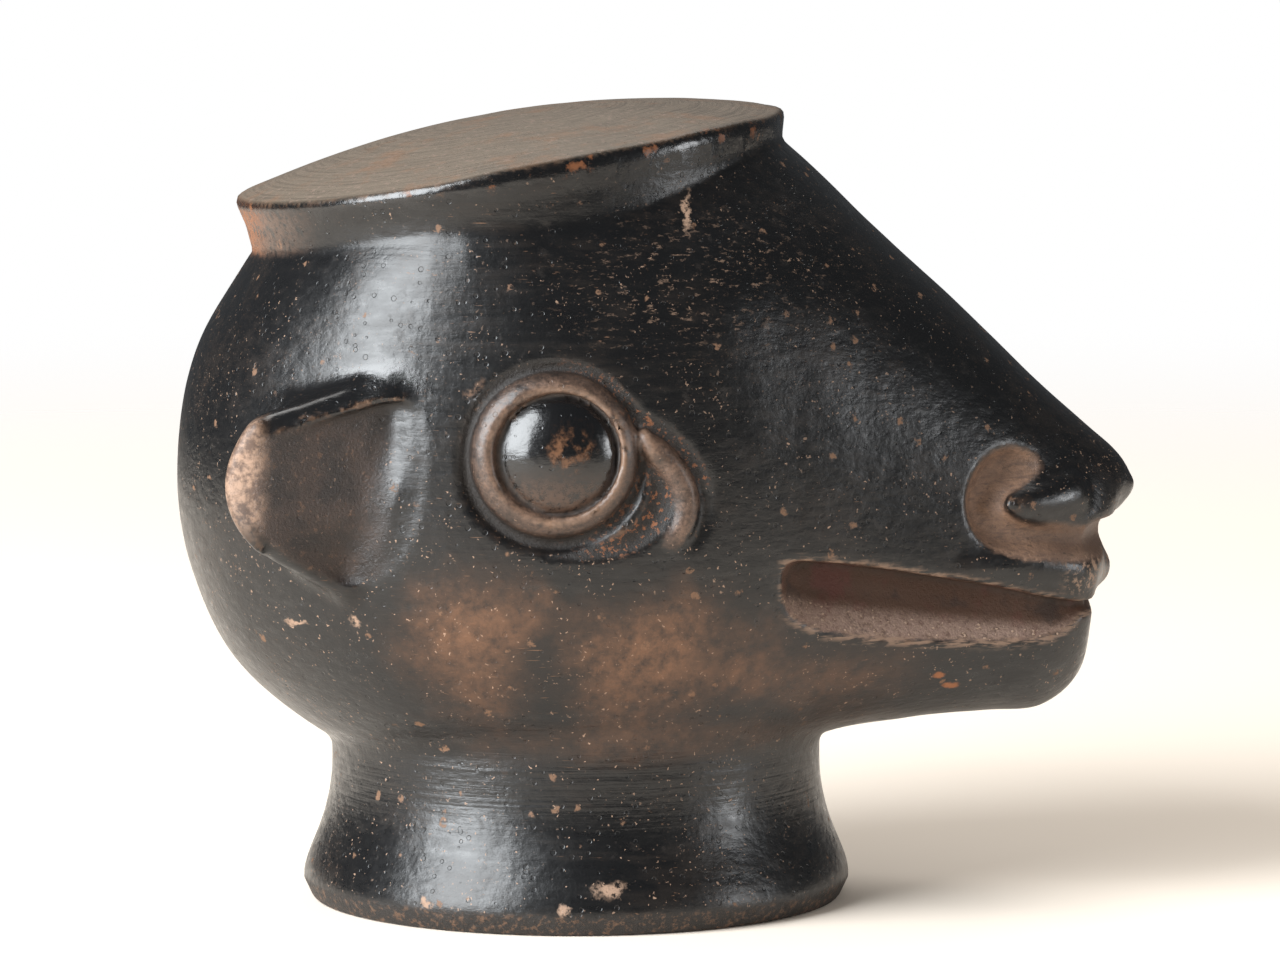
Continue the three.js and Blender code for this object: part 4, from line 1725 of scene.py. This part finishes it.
@dataclass(frozen=True)
class BurnishedClay:
    """Black smoked clay, rubbed to a gloss with a pebble, worn and stained by burial.

    Attributes:
        black: The smoked surface.
        soot: Its browner parts.
        dome: The matte top.
        bare: Bare clay where the surface is rubbed away.
        worn: Pale wear on edges.
        rust: Orange-brown stains.
        cloud: Fire-clouds.
        ear: The dished face of the ear.
        ring: Eye rings and tear ridges; the same tan is also laid on the eyeballs' lower half as a painted
            reflection of the floor.
        nostril: The nostril's channel.
        throat: The mouth's wall.
        maroon: Its redder parts.
        crust: What has dried on the mouth's floor.
        inner: The clay inside.
        crumb: Grains of clay.
    """

    black: Tone = tone(13, 13, 14)
    soot: Tone = tone(30, 25, 22)
    dome: Tone = tone(100, 88, 75)
    bare: Tone = tone(112, 82, 60)
    worn: Tone = tone(158, 129, 108)
    rust: Tone = tone(132, 82, 50)
    cloud: Tone = tone(124, 86, 60)
    ear: Tone = tone(48, 36, 30)
    ring: Tone = tone(98, 76, 63)
    nostril: Tone = tone(132, 102, 81)
    throat: Tone = tone(70, 46, 31)
    maroon: Tone = tone(82, 36, 30)
    crust: Tone = tone(128, 106, 95)
    inner: Tone = tone(74, 60, 51)
    crumb: Tone = tone(150, 128, 110)

    def material(self) -> bpy.types.Material:
        """Build it from nodes.

        Returns:
            The material.
        """
        made = bpy.data.materials.new("burnished_black_clay")
        made.use_nodes = True
        made.node_tree.nodes.clear()
        sheet = Sheet(made.node_tree)
        spot = sheet.add("ShaderNodeTexCoord", {}, {}).outputs["Object"]
        place = sheet.stretched(spot, (1.0 / METRE,) * 3)
        split = sheet.add("ShaderNodeSeparateXYZ", {}, {0: place})
        along, up = Number(sheet, split.outputs[0]), Number(sheet, split.outputs[2])
        cloudy, fine = sheet.noise(place, 0.045, 4.0), sheet.noise(place, 0.55, 4.0, 0.65)
        strokes = sheet.noise(sheet.stretched(place, (0.035, 0.3, 0.42)), 1.0, 4.0, 0.6)
        turns = self.turning(sheet, place)
        coat = Coat(sheet, self.black, (cloudy - 0.5) * 0.16 + (strokes - 0.5) * 0.26 + 0.315)
        coat.tint(self.soot, (cloudy + (strokes - 0.5) * 0.8).step(0.46, 0.74) * 0.6)
        self.body(coat, place, cloudy, fine, up)
        self.top(coat, place, fine, turns, along)
        self.ears(coat, place, fine, up)
        self.eyes(coat, place, fine, along, up)
        self.muzzle(coat, place, fine, along, up)
        self.wear(coat, place, fine, cloudy)
        relief = self.relief(sheet, place, fine, strokes, turns, up)
        hollow = sheet.mark("hollow")
        shader = sheet.add("ShaderNodeBsdfPrincipled", {}, {
            "Base Color": coat.colour, "Roughness": coat.rough.math("MINIMUM", coat.rough, 0.95),
            "Normal": relief, "Coat Weight": (1.0 - (coat.rough | hollow)).step(0.66, 0.84) * 0.5,
            "Coat Roughness": 0.12, "IOR": 1.5})
        sheet.add("ShaderNodeOutputMaterial", {}, {"Surface": shader.outputs[0]})
        return made

    @staticmethod
    def turning(sheet: Sheet, place: bpy.types.NodeSocket) -> Number:
        """Fine lines round the middle of the disc.

        Args:
            sheet: The material's nodes.
            place: In millimetres.

        Returns:
            Noise that changes outward much faster than round the middle.
        """
        crown = Crown()
        parts = sheet.add("ShaderNodeSeparateXYZ", {}, {0: sheet.stretched(
            place, (1.0, 1.0, 1.0), (crown.set_back, 0.0, -crown.height))})
        lean = math.tan(math.radians(crown.tilt))
        ahead = Number(sheet, parts.outputs[0]) + Number(sheet, parts.outputs[2]) * lean
        across = Number(sheet, parts.outputs[1])
        out = (ahead * ahead + across * across) ** 0.5
        angle = ahead.math("ARCTAN2", across, ahead)
        around = sheet.add("ShaderNodeCombineXYZ", {}, {0: out * 0.9, 1: angle * 1.6})
        return sheet.noise(around.outputs[0], 1.0, 4.0, 0.7)

    def body(self, coat: Coat, place: bpy.types.NodeSocket, cloudy: Number, fine: Number, up: Number) -> None:
        """Fire-clouds, stains and specks all over.

        Args:
            coat: The layers so far.
            place: In millimetres.
            cloudy: Broad noise.
            fine: Fine noise.
            up: Height.
        """
        sheet = coat.sheet
        blotchy = sheet.noise(place, 0.20, 5.0, 0.7)
        for middle, reach, share in (((-47.0, 0.0, 77.0), (18.0, 200.0, 19.0), 0.72),
                                     ((0.0, 0.0, 72.0), (26.0, 200.0, 16.0), 0.88),
                                     ((43.0, 0.0, 64.0), (24.0, 200.0, 9.0), 0.36),
                                     ((6.0, 0.0, 49.5), (48.0, 200.0, 6.0), 0.26)):
            cloud = sheet.patch(place, middle, reach, cloudy, 0.70) * blotchy.step(0.16, 0.74)
            coat.lay(self.cloud, 0.45, cloud * share)
        dull = sheet.noise(place, 0.16, 5.0, 0.7).step(0.60, 0.70)
        coat.lay(self.soot, 0.55, dull * 0.5)
        ragged = sheet.warped(place, 0.5, 3.0)
        dots = sheet.grains(ragged, 0.17, 0.20, 0.30)
        coat.lay(self.bare, 0.7, dots * fine.step(0.42, 0.56) * 0.8)
        low = up.step(165.0, 95.0) * 0.75 + 0.25
        specks = sheet.grains(ragged, 0.85, 0.24, 0.22)
        coat.lay(self.worn, 0.7, specks * blotchy.step(0.42, 0.58) * low * 0.75)
        graze = sheet.noise(sheet.stretched(place, (0.30, 0.4, 0.95)), 1.0, 4.0, 0.7).step(0.57, 0.66)
        graze = graze * sheet.patch(place, (10.0, 0.0, 167.0), (34.0, 200.0, 17.0), blotchy, 0.6)
        coat.lay(self.worn, 0.6, graze * 0.38)
        flecks = sheet.noise(place, 0.85, 3.0, 0.6).step(0.655, 0.70)
        flecks = flecks * sheet.noise(place, 0.05, 3.0).step(0.46, 0.62)
        coat.lay(self.worn, 0.65, flecks * 0.6)
        scratches = sheet.noise(sheet.stretched(place, (0.10, 1.6, 2.2), (7.0, 3.0, 1.0)), 1.0, 2.0, 0.5)
        coat.lay(self.bare, 0.6, scratches.step(0.69, 0.74) * cloudy.step(0.46, 0.60) * 0.7)
        for middle, reach in (((76.6, 0.0, 59.8), (2.6, 200.0, 1.1)), ((73.4, 0.0, 63.0), (2.0, 200.0, 1.0))):
            coat.lay(self.rust, 0.7, sheet.patch(place, middle, reach, fine))

    def top(self, coat: Coat, place: bpy.types.NodeSocket, fine: Number, turns: Number,
            along: Number) -> None:
        """The disc's matte dome, its shiny edge band and its collar.

        Args:
            coat: The layers so far.
            place: In millimetres.
            fine: Fine noise.
            turns: Noise round the disc's middle.
            along: Place along the head.
        """
        sheet = coat.sheet
        collar, band, dome = sheet.mark("collar"), sheet.mark("band"), sheet.mark("dome")
        behind = along.step(-84.0, -104.0)
        coat.lay(self.ring, 0.48, collar * behind * fine.step(0.30, 0.6) * 0.7)
        coat.lay(self.rust, 0.6, (collar | band) * along.step(-99.0, -107.0) * fine.step(0.34, 0.52) * 0.85)
        coat.lay(self.black, 0.20, band * 0.8)
        coat.lay(self.rust, 0.5, band * sheet.noise(place, 0.13, 4.0, 0.6).step(0.60, 0.68) * 0.6)
        matte = dome * (turns.step(0.30, 0.60) * 0.35 + 0.65)
        coat.lay(self.dome, (fine - 0.5) * 0.2 + 0.62, matte)
        coat.tint(self.bare, dome * sheet.noise(place, 0.07, 5.0, 0.65).step(0.50, 0.68) * 0.55)
        coat.tint(self.crust, dome * fine.step(0.54, 0.70) * 0.5)
        coat.tint(self.black, dome * turns.step(0.60, 0.72) * 0.35)

    def ears(self, coat: Coat, place: bpy.types.NodeSocket, fine: Number, up: Number) -> None:
        """The dished face of the ear and its rubbed back rim.

        Args:
            coat: The layers so far.
            place: In millimetres.
            fine: Fine noise.
            up: Height.
        """
        sheet = coat.sheet
        face, rim, top = sheet.mark("ear_face"), sheet.mark("ear_rim"), sheet.mark("ear_top")
        mottled = sheet.noise(place, 0.14, 5.0, 0.65)
        coat.lay(self.ear, 0.52, face * (mottled.step(0.34, 0.60) * 0.6 + 0.3))
        coat.tint(self.bare, face * fine.step(0.56, 0.72) * mottled.step(0.44, 0.60) * 0.55)
        coat.lay(self.black, 0.20, top * 0.8)
        rim = rim * (up.step(100.0, 122.0) * 0.6 + 0.4)
        coat.lay(self.ring, 0.58, rim * 0.85)
        coat.tint(self.worn, rim * (fine * 0.5 + mottled * 0.5).step(0.42, 0.58) * 0.85)

    def eyes(self, coat: Coat, place: bpy.types.NodeSocket, fine: Number, along: Number, up: Number) -> None:
        """Tan rings and tear ridges, glossy eyeballs with a painted reflection of the floor on their lower
        half, dark hollows with stains.

        Args:
            coat: The layers so far.
            place: In millimetres.
            fine: Fine noise.
            along: Place along the head.
            up: Height.
        """
        sheet = coat.sheet
        ring, ball, pit = sheet.mark("ring"), sheet.mark("ball"), sheet.mark("pit")
        mottled = sheet.noise(place, 0.22, 4.0, 0.6)
        coat.lay(self.soot, 0.62, pit * 0.9)
        stained = sheet.noise(place, 0.7, 3.0, 0.65).step(0.54, 0.62) * along.step(-30.0, -8.0)
        coat.lay(self.rust, 0.75, pit * stained * 0.8)
        gritty = sheet.noise(place, 1.3, 3.0, 0.7).step(0.36, 0.60) * 0.5 + 0.5
        rubbed = mottled.step(0.32, 0.60) * 0.5 + fine.step(0.3, 0.6) * 0.4 + 0.1
        coat.lay(self.ring, 0.46, ring * gritty * rubbed)
        coat.tint(self.worn, ring * sheet.mark("edge") * 0.35)
        coat.lay(self.black, 0.22, ball)
        patch = sheet.patch(place, (-21.5, 0.0, 128.0), (6.0, 200.0, 6.0), fine, 0.45)
        coat.lay(self.cloud, 0.40, ball * patch * mottled.step(0.42, 0.60) * 0.75)
        # Painted reflection: tan laid over the lower half of each eyeball stands in for the pale floor
        # mirrored there.
        coat.lay(self.ring, 0.42, ball * up.step(124.0, 113.0) * fine.step(0.28, 0.60) * 0.60)

    def muzzle(self, coat: Coat, place: bpy.types.NodeSocket, fine: Number, along: Number,
               up: Number) -> None:
        """Rubbed nostrils, the lip's worn edge and the mouth's stained wall and crusty floor.

        Args:
            coat: The layers so far.
            place: In millimetres.
            fine: Fine noise.
            along: Place along the head.
            up: Height.
        """
        sheet = coat.sheet
        channel, mouth = sheet.mark("channel"), sheet.mark("mouth")
        ledge, lip = sheet.mark("ledge"), sheet.mark("lip_edge")
        fibres = sheet.noise(sheet.stretched(place, (0.18, 0.5, 1.1)), 1.0, 4.0, 0.7)
        behind = along.step(106.0, 94.0) * 0.6 + 0.4
        coat.lay(self.ring, 0.6, channel * 0.9)
        rubbed = sheet.noise(place, 0.24, 5.0, 0.7).step(0.34, 0.60)
        coat.tint(self.nostril, channel * fibres.step(0.30, 0.62) * behind * (rubbed * 0.6 + 0.3))
        coat.tint(self.soot, channel * (fibres * 0.5 + fine * 0.5).step(0.54, 0.64) * 0.7)
        front = along.step(104.0, 112.0)
        flaked = sheet.noise(place, 0.55, 4.0, 0.7).step(0.50, 0.60)
        coat.lay(self.worn, 0.6, front * up.step(95.0, 91.0) * up.step(82.0, 85.0) * flaked * 0.7)
        walls = sheet.noise(place, 0.10, 5.0, 0.6)
        coat.lay(self.throat, 0.66, mouth * 0.95)
        coat.tint(self.maroon, mouth * walls.step(0.50, 0.66) * 0.6)
        coat.tint(self.black, mouth * walls.step(0.46, 0.34) * 0.5)
        coat.lay(self.crust, 0.85, ledge * (fine.step(0.32, 0.55) * 0.6 + 0.3))
        coat.tint(self.crumb, ledge * sheet.noise(place, 1.6, 3.0, 0.7).step(0.52, 0.64) * 0.6)
        dashes = sheet.noise(sheet.stretched(place, (0.16, 0.1, 0.9)), 1.0, 3.0, 0.6)
        coat.lay(self.worn, 0.7, lip * dashes.step(0.44, 0.60) * 0.55)

    def wear(self, coat: Coat, place: bpy.types.NodeSocket, fine: Number, cloudy: Number) -> None:
        """Rubbed edges, dirt in the creases, chips, the foot's face and the clay inside.

        Args:
            coat: The layers so far.
            place: In millimetres.
            fine: Fine noise.
            cloudy: Broad noise.
        """
        sheet = coat.sheet
        edge, crease = sheet.mark("edge"), sheet.mark("crease")
        foot, hollow, crumb = sheet.mark("foot"), sheet.mark("hollow"), sheet.mark("crumb")
        ragged = sheet.warped(place, 0.4, 5.0)
        rubbed = edge * sheet.noise(place, 0.30, 4.0, 0.7).step(0.46, 0.64)
        coat.lay(self.bare, 0.6, rubbed * 0.55)
        coat.tint(self.worn, rubbed * fine.step(0.56, 0.70) * 0.5)
        coat.lay(self.soot, 0.7, crease * 0.5)
        for middle, reach in (((-9.2, 0.0, 14.5), (4.6, 200.0, 2.4)),
                              ((-21.0, 0.0, 9.5), (2.0, 200.0, 1.4)),
                              ((-57.0, 0.0, 9.8), (1.6, 200.0, 1.3)),
                              ((-74.5, 0.0, 84.0), (1.8, 200.0, 1.6)),
                              ((-90.0, 0.0, 82.0), (3.6, 200.0, 1.0)),
                              ((10.5, 0.0, 187.5), (1.0, 200.0, 6.0))):
            coat.lay(self.worn, 0.8, sheet.patch(ragged, middle, reach, fine) * fine.step(0.34, 0.50) * 0.8)
        coat.lay(self.soot, 0.62, foot)
        coat.tint(self.bare, foot * fine.step(0.50, 0.66) * 0.6)
        coat.lay(self.inner, 0.88, hollow)
        coat.tint(self.soot, hollow * cloudy.step(0.50, 0.66) * 0.7)
        coat.lay(self.crumb, 0.9, crumb * 0.8)

    @staticmethod
    def relief(sheet: Sheet, place: bpy.types.NodeSocket, fine: Number, strokes: Number, turns: Number,
               up: Number) -> bpy.types.NodeSocket:
        """Height of what is too fine for the mesh.

        Args:
            sheet: The material's nodes.
            place: In millimetres.
            fine: Fine noise.
            strokes: Noise along the burnishing strokes.
            turns: Noise round the disc's middle.
            up: Height.

        Returns:
            The bumped normal.
        """
        carved = sheet.mark("ear_face") | sheet.mark("channel") | sheet.mark("mouth") | sheet.mark("pit")
        matte = carved | sheet.mark("hollow") | sheet.mark("foot")
        grit = sheet.noise(place, 1.3, 4.0, 0.7)
        pits = sheet.grains(place, 0.42, 0.30, 0.30)
        wiped = sheet.noise(sheet.stretched(place, (0.02, 0.02, 1.0)), 1.0, 2.0, 0.5)
        lumps = sheet.noise(place, 0.20, 2.0, 0.5)
        lines = sheet.noise(sheet.stretched(place, (0.012, 0.012, 0.75)), 1.0, 2.0, 0.6)
        grooved = lines * (up.step(54.0, 46.0) * up.step(20.0, 32.0)
                           | sheet.patch(place, (-56.0, 0.0, 175.0), (28.0, 200.0, 6.5), lumps, 0.5))
        height = (strokes * 0.20 + lumps * 0.24 + fine * 0.10 - pits * 0.10
                  + (grit - 0.5) * (matte * 0.42 + 0.03) + grooved * 0.22
                  + turns * sheet.mark("dome") * 0.22 + wiped * sheet.mark("hollow") * 0.7
                  + sheet.mark("ledge") * fine * 0.5)
        inputs = {"Height": height, "Distance": METRE, "Strength": 0.8}
        return sheet.add("ShaderNodeBump", {}, inputs).outputs[0]


@dataclass(frozen=True)
class HandFinish:
    """Geometry Nodes that leave the unevenness of hand work and scatter dried crumbs of clay.

    Attributes:
        unevenness: How far the surface strays, in metres.
        spacing: Waves of it in a metre.
        crumbs: How many crumbs lie on a square metre of the mouth's floor.
        crumb_size: Radius of the largest, in metres.
        seed: For the crumbs.
    """

    unevenness: float = 0.00032
    spacing: float = 34.0
    crumbs: float = 120000.0
    crumb_size: float = 0.00050
    seed: int = 7

    def put_on(self, made: bpy.types.Object, clay: bpy.types.Material) -> None:
        """Add the tree as a modifier, with its inputs set.

        Args:
            made: The jar's object.
            clay: Its material.
        """
        tree = bpy.data.node_groups.new("hand_finish", "GeometryNodeTree")
        face = tree.interface
        face.new_socket("Geometry", in_out="INPUT", socket_type="NodeSocketGeometry")
        sizes = {"Unevenness": self.unevenness, "Waves per metre": self.spacing,
                 "Crumbs per area": self.crumbs, "Crumb radius": self.crumb_size}
        sockets = {name: face.new_socket(name, in_out="INPUT", socket_type="NodeSocketFloat")
                   for name in sizes}
        sockets["Seed"] = face.new_socket("Seed", in_out="INPUT", socket_type="NodeSocketInt")
        face.new_socket("Geometry", in_out="OUTPUT", socket_type="NodeSocketGeometry")
        self.grow(Sheet(tree), clay)
        modifier = made.modifiers.new("hand finish", "NODES")
        modifier.node_group = tree
        for name, value in {**sizes, "Seed": self.seed}.items():
            modifier[sockets[name].identifier] = value

    @staticmethod
    def grow(sheet: Sheet, clay: bpy.types.Material) -> None:
        """Build the tree.

        Args:
            sheet: Its nodes.
            clay: The material that it sets.
        """
        given = sheet.add("NodeGroupInput", {}, {}).outputs
        place = sheet.add("GeometryNodeInputPosition", {}, {}).outputs[0]
        facing = sheet.add("GeometryNodeInputNormal", {}, {}).outputs[0]
        wave = sheet.add("ShaderNodeTexNoise", {}, {"Vector": place, "Scale": given["Waves per metre"],
                                                    "Detail": 2.0, "Roughness": 0.45})
        parts = sheet.add("ShaderNodeSeparateXYZ", {}, {0: place})
        height = Number(sheet, parts.outputs[2])
        swing = (Number(sheet, wave.outputs[0]) - 0.5) * Number(sheet, given["Unevenness"]) * 2.0
        swing = swing * height.step(0.001, 0.012)
        offset = sheet.add("ShaderNodeVectorMath", {"operation": "SCALE"}, {0: facing, "Scale": swing})
        moved = sheet.add("GeometryNodeSetPosition", {}, {"Geometry": given["Geometry"],
                                                          "Offset": offset.outputs[0]})
        ledge = sheet.add("GeometryNodeInputNamedAttribute", {"data_type": "FLOAT"}, {"Name": "ledge"})
        amount = Number(sheet, ledge.outputs[0]).step(0.5, 0.9) * Number(sheet, given["Crumbs per area"])
        spots = sheet.add("GeometryNodeDistributePointsOnFaces", {"distribute_method": "RANDOM"}, {
            "Mesh": moved.outputs[0], "Density": amount, "Seed": given["Seed"]})
        ball = sheet.add("GeometryNodeMeshIcoSphere", {}, {"Radius": given["Crumb radius"],
                                                           "Subdivisions": 2})
        named = sheet.add("GeometryNodeStoreNamedAttribute", {"data_type": "FLOAT", "domain": "POINT"}, {
            "Geometry": ball.outputs[0], "Name": "crumb", "Value": 1.0})
        random = sheet.add("FunctionNodeRandomValue", {"data_type": "FLOAT_VECTOR"}, {
            0: (0.35, 0.30, 0.25), 1: (1.0, 0.8, 0.6), "Seed": given["Seed"]})
        grains = sheet.add("GeometryNodeInstanceOnPoints", {}, {
            "Points": spots.outputs["Points"], "Instance": named.outputs[0],
            "Rotation": spots.outputs["Rotation"], "Scale": random.outputs[0]})
        both = sheet.add("GeometryNodeJoinGeometry", {}, {})
        sheet.tree.links.new(grains.outputs[0], both.inputs[0])
        sheet.tree.links.new(moved.outputs[0], both.inputs[0])
        real = sheet.add("GeometryNodeRealizeInstances", {}, {"Geometry": both.outputs[0]})
        dressed = sheet.add("GeometryNodeSetMaterial", {}, {"Geometry": real.outputs[0], "Material": clay})
        sheet.add("NodeGroupOutput", {}, {0: dressed.outputs[0]})


@dataclass(frozen=True)
class Lamp:
    """A softbox.

    Attributes:
        name: Of the light.
        place: In metres.
        aim: The point that it faces.
        size: Its width and height.
        power: In watts.
        colour: Of its light.
    """

    name: str
    place: tuple[float, float, float]
    aim: tuple[float, float, float]
    size: tuple[float, float]
    power: float
    colour: tuple[float, float, float] = (1.0, 1.0, 1.0)

    def build(self) -> None:
        """Make the light."""
        data = bpy.data.lights.new(self.name, "AREA")
        data.shape = "RECTANGLE"
        data.size, data.size_y = self.size
        data.energy = self.power
        data.color = self.colour
        made = bpy.data.objects.new(self.name, data)
        made.location = self.place
        made.rotation_euler = (Vector(self.aim) - Vector(self.place)).to_track_quat("-Z", "Y").to_euler()
        bpy.context.scene.collection.objects.link(made)


@dataclass(frozen=True)
class Studio:
    """Pale floor that runs out into a white room, and soft light from the upper left.

    Attributes:
        reach: How far the floor goes before it is lost in the white.
        floor: Its colour.
        room: Colour of the room as the jar reflects it.
        room_light: How strongly the jar's gloss reflects it.
        room_fill: How strongly it lights what is matte.
        lamps: The lights.
    """

    reach: float = 1.6
    floor: Tone = tone(246, 234, 220)
    room: tuple[float, float, float, float] = (0.88, 0.94, 1.0, 1.0)
    room_light: float = 0.10
    room_fill: float = 0.42
    lamps: tuple[Lamp, ...] = (
        Lamp("key", (-1.50, -1.12, 0.95), (0.0, 0.0, 0.1), (1.40, 2.0), 128.0, (0.93, 0.97, 1.0)),
        Lamp("fill", (1.72, -0.48, 0.30), (0.0, 0.0, 0.1), (0.30, 0.55), 6.5, (0.96, 0.98, 1.0)),
        Lamp("top", (0.1, 0.9, 1.8), (0.0, 0.0, 0.1), (1.6, 0.9), 13.0, (1.0, 0.98, 0.95)))

    def build(self) -> bpy.types.Object:
        """Make lights, room and floor.

        Returns:
            The floor.
        """
        for lamp in self.lamps:
            lamp.build()
        self.white_room()
        bpy.context.scene.view_settings.view_transform = "Standard"
        mesh = bpy.data.meshes.new("floor")
        far = self.reach
        mesh.from_pydata([(-far, -far, 0), (far, -far, 0), (far, far, 0), (-far, far, 0)], [], [(0, 1, 2, 3)])
        mesh.materials.append(self.floor_paper())
        made = bpy.data.objects.new("floor", mesh)
        bpy.context.scene.collection.objects.link(made)
        return made

    def white_room(self) -> None:
        """Plain white behind everything, dimmer where it only lights the jar."""
        world = bpy.data.worlds.new("room")
        world.use_nodes = True
        world.node_tree.nodes.clear()
        sheet = Sheet(world.node_tree)
        rays = sheet.add("ShaderNodeLightPath", {}, {}).outputs
        dim = sheet.add("ShaderNodeBackground", {}, {"Color": self.room, "Strength": self.room_light})
        full = sheet.add("ShaderNodeBackground", {}, {"Color": (1.0, 0.97, 0.93, 1.0),
                                                      "Strength": self.room_fill})
        white = sheet.add("ShaderNodeBackground", {}, {"Color": (1.0, 1.0, 1.0, 1.0), "Strength": 1.0})
        lit = sheet.add("ShaderNodeMixShader", {}, {0: rays["Is Glossy Ray"], 1: full.outputs[0],
                                                    2: dim.outputs[0]})
        mix = sheet.add("ShaderNodeMixShader", {}, {0: rays["Is Camera Ray"], 1: lit.outputs[0],
                                                    2: white.outputs[0]})
        sheet.add("ShaderNodeOutputWorld", {}, {"Surface": mix.outputs[0]})
        bpy.context.scene.world = world

    def floor_paper(self) -> bpy.types.Material:
        """Matte paper that fades out into the room.

        Returns:
            The material.
        """
        made = bpy.data.materials.new("floor_paper")
        made.use_nodes = True
        made.node_tree.nodes.clear()
        sheet = Sheet(made.node_tree)
        spot = sheet.add("ShaderNodeTexCoord", {}, {}).outputs["Object"]
        length = sheet.add("ShaderNodeVectorMath", {"operation": "LENGTH"}, {0: spot}).outputs["Value"]
        paper = sheet.add("ShaderNodeBsdfPrincipled", {}, {"Base Color": self.floor, "Roughness": 0.85})
        clear = sheet.add("ShaderNodeBsdfTransparent", {}, {})
        gone = Number(sheet, length).step(self.reach * 0.35, self.reach * 0.9)
        mix = sheet.add("ShaderNodeMixShader", {}, {0: gone, 1: paper.outputs[0], 2: clear.outputs[0]})
        sheet.add("ShaderNodeOutputMaterial", {}, {"Surface": mix.outputs[0]})
        return made


@dataclass(frozen=True)
class Camera:
    """The photograph's point of view.

    Attributes:
        place: Of the lens, in metres.
        pitch: How far it looks down, in degrees.
        focal: Focal length for a sensor 36 mm wide.
    """

    place: tuple[float, float, float] = (-0.00395, -2.45, 0.41)
    pitch: float = 6.99
    focal: float = 264.375

    def build(self) -> None:
        """Make it the scene's camera."""
        data = bpy.data.cameras.new("camera")
        data.lens = self.focal
        data.sensor_width = 36.0
        data.clip_end = 20.0
        made = bpy.data.objects.new("camera", data)
        made.location = self.place
        made.rotation_euler = (math.radians(90.0 - self.pitch), 0.0, 0.0)
        bpy.context.scene.collection.objects.link(made)
        bpy.context.scene.camera = made


def main() -> None:
    """Build the jar, the studio and the camera."""
    logging.basicConfig(level=logging.INFO, format="%(name)s: %(message)s")
    Camera().build()
    Studio().build()
    detail = Detail.FULL
    body = JarBuilder(Jar(), detail, BurnishedClay(), HandFinish()).build()
    LOG.info("%s: %d points", body.name, len(body.data.vertices))
    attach(body, "root")
    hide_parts("zoomorphic_jar")


if __name__ == "__main__":
    main()
